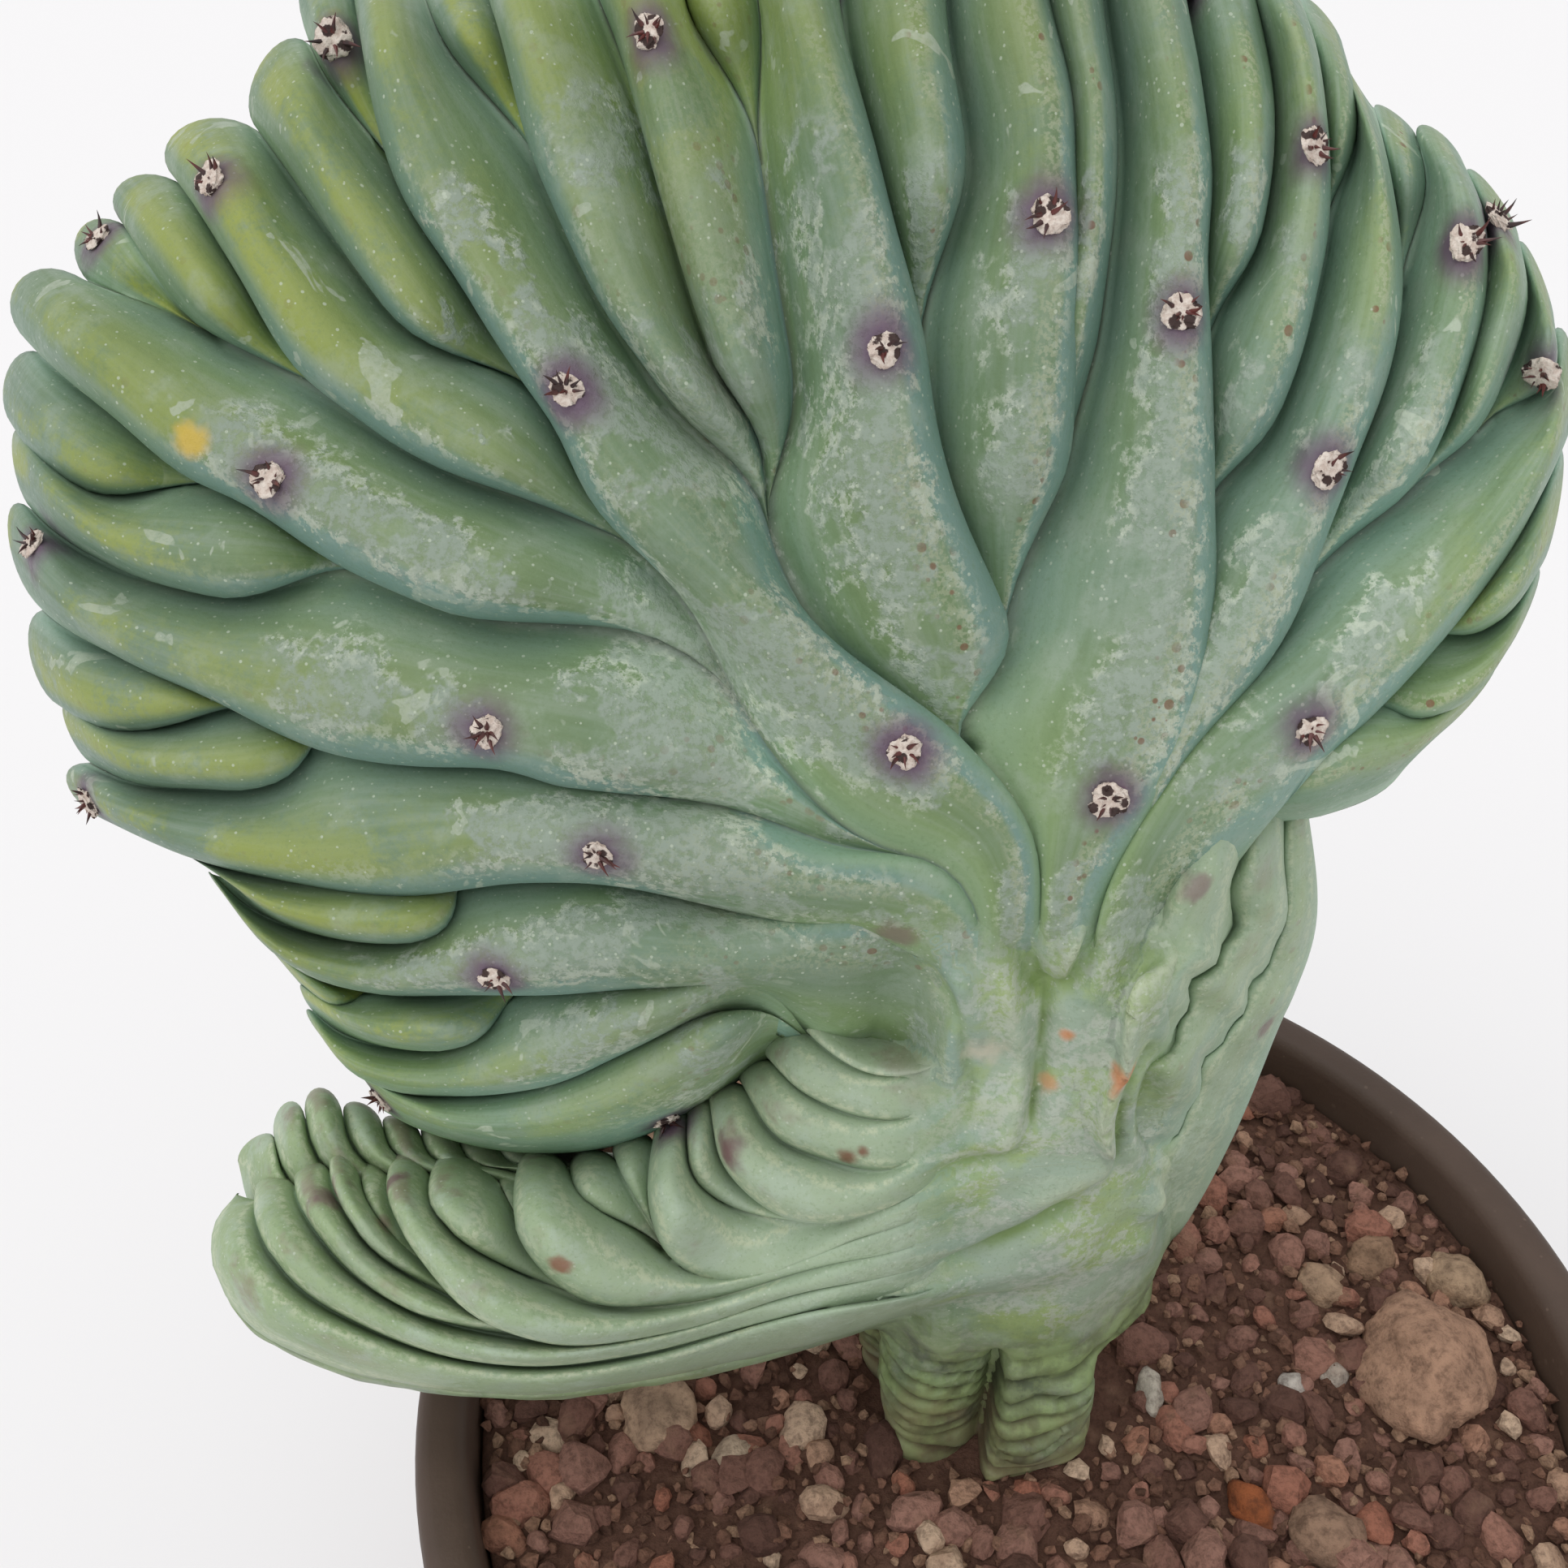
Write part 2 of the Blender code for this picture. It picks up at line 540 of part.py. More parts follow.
# Soil: a turned fill whose top is gently uneven, with pebbles sunk into it and a plain hole for the stem.
rng = np.random.default_rng(11)
soil_floor = 0.0026 + gap
fill = [(0.0, soil_floor), (bore_radius(0.0027) - 0.0004, soil_floor), (bore_radius(0.0065), 0.0065)]
for height in (0.05, 0.10, pot_height - rim_depth - 0.004, soil_top - 0.0008):
    fill.append((bore_radius(height), height))
fill += [(radius, soil_top) for radius in (0.0760, 0.071, 0.062, 0.053, 0.044, 0.035, 0.026, 0.019, 0.0)]
soil = turned("soil", fill, 40)


def undulation(x, y):
    waves = math.sin(x * 95 + 1.3) * math.cos(y * 80)
    waves += 0.6 * math.sin(y * 150 - x * 60) + 0.4 * math.sin(x * 210)
    near_stem = smooth((math.hypot(x - stem_foot_x, y) - 0.024) / 0.012)
    near_wall = smooth((0.0765 - math.hypot(x, y)) / 0.004)
    return soil_relief * 0.5 * waves * near_stem * near_wall


for corner in soil.data.vertices:
    if corner.co.z > soil_top - 1e-5:
        corner.co.z += undulation(corner.co.x, corner.co.y)


def pebble(place, size, turn, rough):
    shape = bmesh.new()
    bmesh.ops.create_icosphere(shape, subdivisions=rough, radius=size)
    for corner in shape.verts:
        corner.co *= 1 + 0.16 * rng.uniform(-1, 1)
        corner.co.z *= 0.72
        corner.co.y *= 0.86
    bmesh.ops.rotate(shape, verts=shape.verts, matrix=Matrix.Rotation(turn, 3, "Z"))
    bmesh.ops.translate(shape, verts=shape.verts, vec=place)
    return keep(shape, "pebble")


pebbles = [pebble((0.058, -0.001, soil_top + 0.0035), 0.0102, 0.4, 2),
           pebble((-0.051, -0.006, soil_top + 0.0015), 0.0055, 1.2, 1)]
spots = [(0.058, -0.001, 0.0105), (-0.051, -0.006, 0.0055), (stem_foot_x, 0.0, 0.0235)]
while len(pebbles) < 58:
    angle = rng.uniform(0, math.tau)
    radius = 0.0725 * math.sqrt(rng.uniform(0.08, 1))
    x, y = radius * math.cos(angle), radius * math.sin(angle)
    size = rng.choice([0.0026, 0.0031, 0.0038, 0.0048], p=[0.35, 0.35, 0.2, 0.1])
    if radius + size > 0.0755 or any(math.hypot(x - a, y - b) < c + size for a, b, c in spots):
        continue
    spots.append((x, y, size * 0.9))
    pebbles.append(pebble((x, y, soil_top + undulation(x, y) + 0.25 * size), size, rng.uniform(0, 3), 1))
fused(soil, pebbles)
socket = cylinder("socket", stem_plug_radius + gap, soil_top - stem_plug_depth - 0.0005, soil_top + 0.01, 20,
                  (stem_foot_x, 0.0))
fused(soil, [socket], "DIFFERENCE")

# Cactus: trunk and main fan, lower lobe and right flange, grown together.
def fan_valley(level, x):
    """0.5 puts a valley midway; ribs on the left overhang the one before, ribs on the right the one after."""
    strength = smooth((level - 0.34) / 0.2) * (1 - 0.55 * smooth((level - 0.86) / 0.14))
    return 0.5 + valley_shift * strength * (1 - 2 * smooth((x - 74) / 38))


fan = RibbedSheet(
    fan_left_side, fan_right_side, fan_ribs, fan_depth, fan_slant,
    core=lambda t, spot: blend(t, (0.14, 0.0112), (0.26, 0.0120), (0.370, 0.0142), (0.62, fan_core)),
    height=lambda t, spot: blend(t, (0.14, 0.0016), (0.26, 0.0008), (0.37, 0.0018), (0.64, rib_height)),
    squareness=lambda t, place: blend(t, (0.38, 2.2), (0.66, 6.0)),
    valley_at=fan_valley)
lobe = RibbedSheet(
    lobe_left_side, lobe_right_side, lobe_ribs, lobe_depth, wall_slant,
    core=lambda t, spot: blend(142 - spot[0], (0, 0.0095), (12, 0.0166), (26, 0.0172), (56, 0.0092)),
    height=lambda t, spot: blend(118 - spot[0], (0, 0.0002), (32, 0.0080)),
    squareness=lambda t, place: blend(t, (0.20, 4.6 if place < 0 else 2.0), (0.45, 2.6)),
    valley_at=lambda t, x: 0.5 + 0.24 * smooth((112 - x) / 14),
    rear=0.6)
lobe_back = RibbedSheet(
    lobe_back_left_side, lobe_back_right_side, lobe_back_ribs, lobe_back_depth, wall_slant,
    core=lambda t, spot: blend(t, (0.0, 0.0020), (0.45, 0.0070)),
    height=lambda t, spot: blend(t, (0.3, 0.0004), (0.7, 0.0050)),
    squareness=lambda t, place: 2.6,
    valley_at=lambda t, x: 0.5)
flange = RibbedSheet(
    flange_left_side, flange_right_side, flange_ribs, flange_depth, wall_slant,
    core=lambda t, spot: blend(t, (0.0, 0.0105), (0.35, 0.0150), (1.0, 0.0055)),
    height=lambda t, spot: 0.0022 + 0.0025 * t,
    squareness=lambda t, place: 3.0,
    valley_at=lambda t, x: 0.5,
    rear=0.75)
trunk_levels = [0.0, 0.10, 0.20, 0.29, 0.37, 0.44, 0.51]
cactus = fan.body("cactus", trunk_levels + [0.58, 0.66, 0.74, 0.82, 0.89, 0.945, 0.98, 1.0], 4)
lobe_levels = [0.0, 0.05, 0.11, 0.18, 0.26, 0.36, 0.48, 0.61, 0.74, 0.86, 0.95, 1.0]
flange_levels = [0.0, 0.15, 0.3, 0.45, 0.6, 0.75, 0.88, 1.0]
lobe_back_levels = [0.0, 0.25, 0.5, 0.7, 0.85, 0.94, 1.0]
fused(cactus, [lobe.body("lobe", lobe_levels, 4), lobe_back.body("lobe_back", lobe_back_levels, 4),
               flange.body("flange", flange_levels, 4)])
cut_at_ground(cactus.data, soil_top + gap)
plug_top = soil_top + 0.006
plug = cylinder("plug", stem_plug_radius, soil_top - stem_plug_depth, plug_top, 20, (stem_foot_x, 0.0))
fused(cactus, [plug])

# Areoles sit on the ridges: those of the front by their place on the sheet, those of the back along the ribs.
front_areoles = [
    (47, 135.5), (82, 138), (61, 120.5), (73.5, 105.3), (11, 98.8), (60, 90), (4, 67), (33, 59), (12, 29.5),
    (26, 22), (41, 5), (69.7, 48), (111.5, 92.5), (80, 4), (109, 43), (129.3, 26.5), (145.7, 38.5),
    (136.7, 98.5), (162, 18), (163.7, 57.7), (180.7, 30), (184.5, 27), (190, 46), (161.5, 90), (103, -4),
    (147, -2), (120, -12),
]
back_areoles = [(rib, back) for rib in (1, 4, 9, 12, 16, 19, 22, 25, 28, 32, 36) for back in (14, 52)]
solid = bmesh.new()
solid.from_mesh(cactus.data)
tree = BVHTree.FromBMesh(solid)


def areole(spot, face):
    """A woolly cushion with a few spines where the ray through a place on the sheet meets the skin."""
    ray = on_ray(spot, 1.0) - eye
    start = eye if face < 0 else eye + 0.6 * ray
    hit, normal, _, _ = tree.ray_cast(Vector(start), Vector(ray) * -face)
    if hit is None:
        return []
    turn = normal.to_track_quat("Z", "X").to_matrix().to_4x4()
    place = Matrix.Translation(hit) @ turn @ Matrix.Rotation(rng.uniform(0, 3), 4, "Z")
    shape = bmesh.new()
    flat = Matrix.Diagonal((1, 1, 0.6, 1))
    bmesh.ops.create_icosphere(shape, subdivisions=1, radius=areole_radius, matrix=flat)
    bmesh.ops.transform(shape, matrix=place, verts=shape.verts)
    made = [keep(shape, "areole")]
    for number in range(3):
        angle = math.tau * (number + rng.uniform(-0.2, 0.2)) / 3
        aim = Vector((0.75 * math.cos(angle), 0.75 * math.sin(angle), 1)).normalized()
        shape = bmesh.new()
        bmesh.ops.create_cone(shape, cap_ends=True, segments=3, radius1=spine_radius, radius2=0,
                              depth=spine_length, matrix=Matrix.Translation((0, 0, spine_length / 2)))
        bmesh.ops.transform(shape, matrix=place @ aim.to_track_quat("Z", "X").to_matrix().to_4x4(),
                            verts=shape.verts)
        made.append(keep(shape, "spine"))
    return made


cushions = []
for spot in front_areoles:
    cushions += areole(spot, -1)
for rib, back in back_areoles:
    track = fan.tracks[rib]
    if back < track.length - 12:
        cushions += areole(track.at(back), 1)
solid.free()
fused(cactus, cushions)

for piece, look in ((pot, plastic), (soil, gravel), (cactus, skin)):
    piece.data.materials.clear()
    piece.data.materials.append(look)
    piece.data.shade_smooth()
    piece.data.set_sharp_from_angle(angle=math.radians(40))
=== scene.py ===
import math

import bmesh
import bpy
import numpy as np
from mathutils import Matrix, Vector, noise
from mathutils.bvhtree import BVHTree
from mathutils.kdtree import KDTree


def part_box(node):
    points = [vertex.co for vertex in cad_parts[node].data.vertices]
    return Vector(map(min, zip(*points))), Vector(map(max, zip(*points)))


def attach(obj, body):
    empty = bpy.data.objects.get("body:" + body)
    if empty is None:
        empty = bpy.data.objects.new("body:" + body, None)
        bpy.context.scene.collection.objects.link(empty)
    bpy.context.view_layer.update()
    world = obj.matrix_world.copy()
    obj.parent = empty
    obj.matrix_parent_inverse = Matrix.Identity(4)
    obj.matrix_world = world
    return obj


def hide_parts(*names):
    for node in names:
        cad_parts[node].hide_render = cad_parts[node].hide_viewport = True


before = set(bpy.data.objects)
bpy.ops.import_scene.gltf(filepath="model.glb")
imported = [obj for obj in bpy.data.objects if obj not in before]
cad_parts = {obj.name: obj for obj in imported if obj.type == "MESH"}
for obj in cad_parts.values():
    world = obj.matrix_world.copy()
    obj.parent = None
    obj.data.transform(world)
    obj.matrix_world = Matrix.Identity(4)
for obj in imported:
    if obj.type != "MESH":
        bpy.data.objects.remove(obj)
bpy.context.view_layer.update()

scene = bpy.context.scene
rng = np.random.default_rng(7)
print("frame loaded:", sorted(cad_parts))

# view, light and floor
view = {
    "place": (-0.0337, -0.1200, 0.3271),
    "tiltDown": 38.3,
    "lens": 35.0,
    "sensor": 36.0,
    "middlePixel": 966,
    "pixelDistance": 1878.3,  # the lens in pixels of the photograph
    "floorColour": (240, 239, 240),
    "skyStrength": 0.74,
    "sunStrength": 1.24,
    "sunSpread": 70.0,
    "sunFrom": (-0.45, -0.30, 1.0),
    "floorHalf": 6.0,
}


def shade(red, green, blue):
    # sRGB bytes to the linear colour that the shaders take
    linear = []
    for part in (red / 255, green / 255, blue / 255):
        linear.append(part / 12.92 if part <= 0.04045 else ((part + 0.055) / 1.055) ** 2.4)
    return (*linear, 1.0)


def ease(x):
    x = np.clip(x, 0.0, 1.0)
    return x * x * (3 - 2 * x)


def eased(x, *knots):
    # a smooth run through the given heights, level outside them
    height = knots[0][1]
    for (start, low), (end, high) in zip(knots, knots[1:]):
        height = height + (high - low) * ease((x - start) / (end - start))
    return height


def addObject(name, data):
    made = bpy.data.objects.new(name, data)
    scene.collection.objects.link(made)
    return made


def keptMesh(name, shape):
    # a mesh of its own from a shape that is no longer needed
    made = bpy.data.meshes.new(name)
    shape.to_mesh(made)
    shape.free()
    return made


def evaluated(carrier):
    # the mesh that an object's modifiers give
    bpy.context.view_layer.update()
    return bpy.data.meshes.new_from_object(carrier.evaluated_get(bpy.context.evaluated_depsgraph_get()))


def addValues(mesh, name, values, kind="FLOAT"):
    # one value, or one vector, for each point of a mesh
    layer = mesh.attributes.new(name, kind, "POINT").data
    layer.foreach_set("vector" if kind == "FLOAT_VECTOR" else "value", np.array(values, np.float32).reshape(-1))


camera = addObject("photoCamera", bpy.data.cameras.new("photoCamera"))
camera.location = view["place"]
camera.rotation_euler = (math.radians(90 - view["tiltDown"]), 0, 0)
camera.data.lens = view["lens"]
camera.data.sensor_width = view["sensor"]
camera.data.clip_start = 0.01
scene.camera = camera
scene.view_settings.view_transform = "Standard"
scene.view_settings.look = "None"

sky = bpy.data.worlds.new("paleRoom")
sky.use_nodes = True
sky.node_tree.nodes["Background"].inputs["Color"].default_value = (1.0, 1.0, 1.0, 1.0)
sky.node_tree.nodes["Background"].inputs["Strength"].default_value = view["skyStrength"]
scene.world = sky

sun = addObject("softSun", bpy.data.lights.new("softSun", "SUN"))
sun.data.energy = view["sunStrength"]
sun.data.angle = math.radians(view["sunSpread"])
sun.rotation_euler = Vector(view["sunFrom"]).to_track_quat("Z", "Y").to_euler()

floorShape = bmesh.new()
bmesh.ops.create_grid(floorShape, x_segments=4, y_segments=4, size=view["floorHalf"])
floor = addObject("floor", keptMesh("floor", floorShape))
floorPaint = bpy.data.materials.new("paleFloor")
floorPaint.use_nodes = True
floorShader = floorPaint.node_tree.nodes["Principled BSDF"]
floorShader.inputs["Base Color"].default_value = shade(*view["floorColour"])
floorShader.inputs["Roughness"].default_value = 0.9
floorShader.inputs["Specular IOR Level"].default_value = 0.1
floor.data.materials.append(floorPaint)
print("view, light and floor set")
# node trees: short words for the nodes that are used most
floatKind, intKind, vectorKind = "NodeSocketFloat", "NodeSocketInt", "NodeSocketVector"
geometryKind, materialKind = "NodeSocketGeometry", "NodeSocketMaterial"


def feed(tree, socket, value):
    # a socket takes either a link or a plain value
    if isinstance(value, bpy.types.NodeSocket):
        tree.links.new(value, socket)
    else:
        socket.default_value = value


class Wiring:
    def __init__(self, tree, place=None):
        self.tree = tree
        self.place = place  # where patterns are read, unless another place is named

    def add(self, kind, inputs=None, **settings):
        made = self.tree.nodes.new(kind)
        for name, value in settings.items():
            setattr(made, name, value)
        for name, value in (inputs or {}).items():
            feed(self.tree, made.inputs[name], value)
        return made

    def math(self, operation, first, second=0.0, *third, clamp=False):
        inputs = dict(enumerate((first, second) + third))
        return self.add("ShaderNodeMath", inputs, operation=operation, use_clamp=clamp).outputs[0]

    def less(self, first, second):
        return self.math("SUBTRACT", first, second)

    def scaled(self, value, factor, plus):
        return self.math("MULTIPLY_ADD", value, factor, plus)

    def times(self, *values):
        total = values[0]
        for value in values[1:]:
            total = self.math("MULTIPLY", total, value)
        return total

    def ramp(self, value, low, high, start=0.0, end=1.0):
        # smooth step of a value from low to high
        inputs = {"Value": value, "From Min": low, "From Max": high, "To Min": start, "To Max": end}
        return self.add("ShaderNodeMapRange", inputs, interpolation_type="SMOOTHSTEP").outputs["Result"]

    def vector(self, operation, first, second):
        return self.add("ShaderNodeVectorMath", {0: first, 1: second}, operation=operation).outputs

    def split(self, vector):
        return self.add("ShaderNodeSeparateXYZ", {"Vector": vector}).outputs

    def join(self, **parts):
        return self.add("ShaderNodeCombineXYZ", parts).outputs["Vector"]

    def noise(self, scale, detail=3.0, roughness=0.5, place=None, part="Fac", twist=0.0):
        inputs = {"Vector": place or self.place, "Scale": scale, "Detail": detail, "Roughness": roughness}
        return self.add("ShaderNodeTexNoise", inputs | {"Distortion": twist}).outputs[part]

    def shaped(self, kind, geometry, **inputs):
        # passes geometry through one node
        return self.add(kind, {"Geometry": geometry} | inputs).outputs["Geometry"]

    def random(self, kind, low, high, seed):
        first, out = {"FLOAT_VECTOR": (0, 0), "FLOAT": (2, 1), "INT": (4, 2)}[kind]
        return self.add("FunctionNodeRandomValue", {"Seed": seed, first: low, first + 1: high},
                        data_type=kind).outputs[out]

    def group(self, group, **inputs):
        return self.add("ShaderNodeGroup", {"Place": self.place} | inputs, node_tree=group).outputs


def newGroup(name, kind, inputs, outputs):
    tree = bpy.data.node_groups.new(name, kind)
    for label, socketKind, value in inputs:
        socket = tree.interface.new_socket(name=label, in_out="INPUT", socket_type=socketKind)
        if value is not None:
            socket.default_value = value
    for label, socketKind in outputs:
        tree.interface.new_socket(name=label, in_out="OUTPUT", socket_type=socketKind)
    given, result = tree.nodes.new("NodeGroupInput").outputs, tree.nodes.new("NodeGroupOutput").inputs
    return Wiring(tree, given.get("Place")), given, result


# shared masks
def buildSpeckle():
    # round dots of uneven size, kept only where a slow noise lets them through
    net, given, result = newGroup("speckle", "ShaderNodeTree", [
        ("Place", vectorKind, None), ("Scale", floatKind, 600.0), ("Size", floatKind, 0.3),
        ("Cover", floatKind, 0.5), ("Patches", floatKind, 60.0)], [("Mask", floatKind)])
    cells = net.add("ShaderNodeTexVoronoi", {"Vector": given["Place"], "Scale": given["Scale"]}).outputs
    own = net.add("ShaderNodeTexWhiteNoise", {"Vector": cells["Color"]}).outputs["Value"]
    dot = net.ramp(net.less(net.times(own, given["Size"]), cells["Distance"]), 0.0, 0.09)
    drift = net.noise(given["Patches"], 2.0)
    let = net.ramp(net.less(drift, net.less(1.0, given["Cover"])), -0.04, 0.08)
    feed(net.tree, result["Mask"], net.times(dot, let))
    return net.tree


def buildRaggedBand():
    # 1 between two limits of a value, with torn edges
    net, given, result = newGroup("raggedBand", "ShaderNodeTree", [
        ("Value", floatKind, 0.0), ("Low", floatKind, 0.0), ("High", floatKind, 1.0), ("Tear", floatKind, 0.2),
        ("Softness", floatKind, 0.03), ("Place", vectorKind, None), ("Scale", floatKind, 300.0)],
        [("Mask", floatKind), ("Rim", floatKind)])
    tear = net.noise(given["Scale"], 5.0, 0.65)
    moved = net.math("ADD", given["Value"], net.times(net.less(tear, 0.5), given["Tear"]))
    nearest = net.math("MINIMUM", net.less(moved, given["Low"]), net.less(given["High"], moved))
    depth = net.math("DIVIDE", nearest, given["Softness"])
    feed(net.tree, result["Mask"], net.math("ADD", depth, 0.5, clamp=True))
    away = net.math("ABSOLUTE", net.times(depth, 0.5))
    feed(net.tree, result["Rim"], net.math("SUBTRACT", 1.0, away, clamp=True))
    return net.tree


def buildPointMark():
    # a small uneven blot round one place; all blots share one noise as their wobble
    net, given, result = newGroup("pointMark", "ShaderNodeTree", [
        ("Place", vectorKind, None), ("Centre", vectorKind, None), ("Radius", floatKind, 0.002),
        ("Wobble", floatKind, 0.5), ("Unevenness", floatKind, 1.6)], [("Mask", floatKind)])
    away = net.vector("DISTANCE", given["Place"], given["Centre"])["Value"]
    change = net.times(net.less(given["Wobble"], 0.5), given["Unevenness"])
    share = net.math("ADD", net.math("DIVIDE", away, given["Radius"]), change)
    feed(net.tree, result["Mask"], net.ramp(share, 1.2, 0.25))
    return net.tree


def buildDust():
    # brown dust that settles low down and in patches
    net, given, result = newGroup("settledDust", "ShaderNodeTree", [
        ("Place", vectorKind, None), ("Low", floatKind, 0.12), ("High", floatKind, 0.15),
        ("Scale", floatKind, 90.0)], [("Mask", floatKind)])
    height = net.split(given["Place"])["Z"]
    drift = net.noise(given["Scale"], 6.0, 0.6)
    rise = net.math("DIVIDE", net.less(height, given["Low"]), net.less(given["High"], given["Low"]))
    mixed = net.math("ADD", rise, net.times(net.less(drift, 0.5), 1.6))
    feed(net.tree, result["Mask"], net.ramp(mixed, 0.9, 0.1))
    return net.tree


speckleGroup, raggedBandGroup = buildSpeckle(), buildRaggedBand()
pointMarkGroup, dustGroup = buildPointMark(), buildDust()


class Finish(Wiring):
    # one material, painted in layers from the bottom up; a colour is a link or the name of a tone
    def __init__(self, name, roughness, specular, tones):
        self.material = bpy.data.materials.new(name)
        self.material.use_nodes = True
        super().__init__(self.material.node_tree)
        self.shader = self.tree.nodes["Principled BSDF"].inputs
        self.shader["Roughness"].default_value = roughness
        self.shader["Specular IOR Level"].default_value = specular
        self.place = self.add("ShaderNodeTexCoord").outputs["Object"]
        self.tones = {label: shade(*tint) for label, tint in tones.items()}
        self.colour = None

    def attribute(self, name):
        return self.add("ShaderNodeAttribute", attribute_name=name).outputs["Fac"]

    def blend(self, amount, under, over, kind="MIX"):
        under, over = [self.tones[tone] if isinstance(tone, str) else tone for tone in (under, over)]
        return self.add("ShaderNodeMix", {0: amount, 6: under, 7: over}, data_type="RGBA", blend_type=kind,
                        clamp_factor=True).outputs[2]

    def layer(self, amount, over, strength=None):
        amount = amount if strength is None else self.times(amount, strength)
        self.colour = self.blend(amount, self.colour, over)

    def done(self, relief, strength, distance, dull=None):
        feed(self.tree, self.shader["Base Color"], self.colour)
        if dull is not None:
            feed(self.tree, self.shader["Roughness"], dull)
        bump = self.add("ShaderNodeBump", {"Height": relief, "Strength": strength, "Distance": distance})
        feed(self.tree, self.shader["Normal"], bump.outputs["Normal"])
        return self.material


# skin of the cactus
skinLook = {
    "tones": {
        "blueGreen": (122, 147, 126), "midGreen": (122, 146, 98), "deepGreen": (98, 122, 78),
        # crevice is painted shade for the valleys' thin dark line
        "creviceShade": (60, 70, 44), "yellowGreen": (160, 172, 78), "valleyBlue": (120, 144, 132),
        "turquoise": (120, 154, 148), "chalk": (156, 170, 156), "scratch": (190, 200, 182),
        "grit": (182, 188, 160), "cork": (122, 86, 62), "halo": (98, 68, 98), "dust": (126, 104, 82),
        "freshGreen": (130, 154, 98),
        "wornPale": (168, 184, 164), "wornGreen": (146, 166, 118), "wornDeep": (124, 150, 94),
        "wornValley": (150, 176, 146), "wornRim": (190, 198, 168), "wornEdge": (132, 104, 98),
        "trunkGreen": (160, 177, 156), "trunkDeep": (112, 140, 116), "trunkYellow": (158, 178, 118),
        "flake": (188, 194, 182), "creaseShadeGreen": (112, 138, 74), "ridgePale": (182, 192, 164),
        # pit is painted shade for the foot's folds and cleft, and for the pits of the gravel
        "oldGreen": (108, 120, 80), "oldYellow": (134, 152, 100), "oldDark": (70, 80, 56), "recessShade": (50, 52, 38),
    },
    "fanFrom": (0.152, 0.182),  # heights between which the look of the trunk gives way to the fan's
    "leftFrom": (-0.020, -0.062),
    "hub": (129.2, 120.5),  # where the fan, the lobe and the flange meet, on the sheet
    "hubReach": (0.038, 0.020),
    "reliefStrength": 0.55,
    "reliefHeight": 0.0005,
}


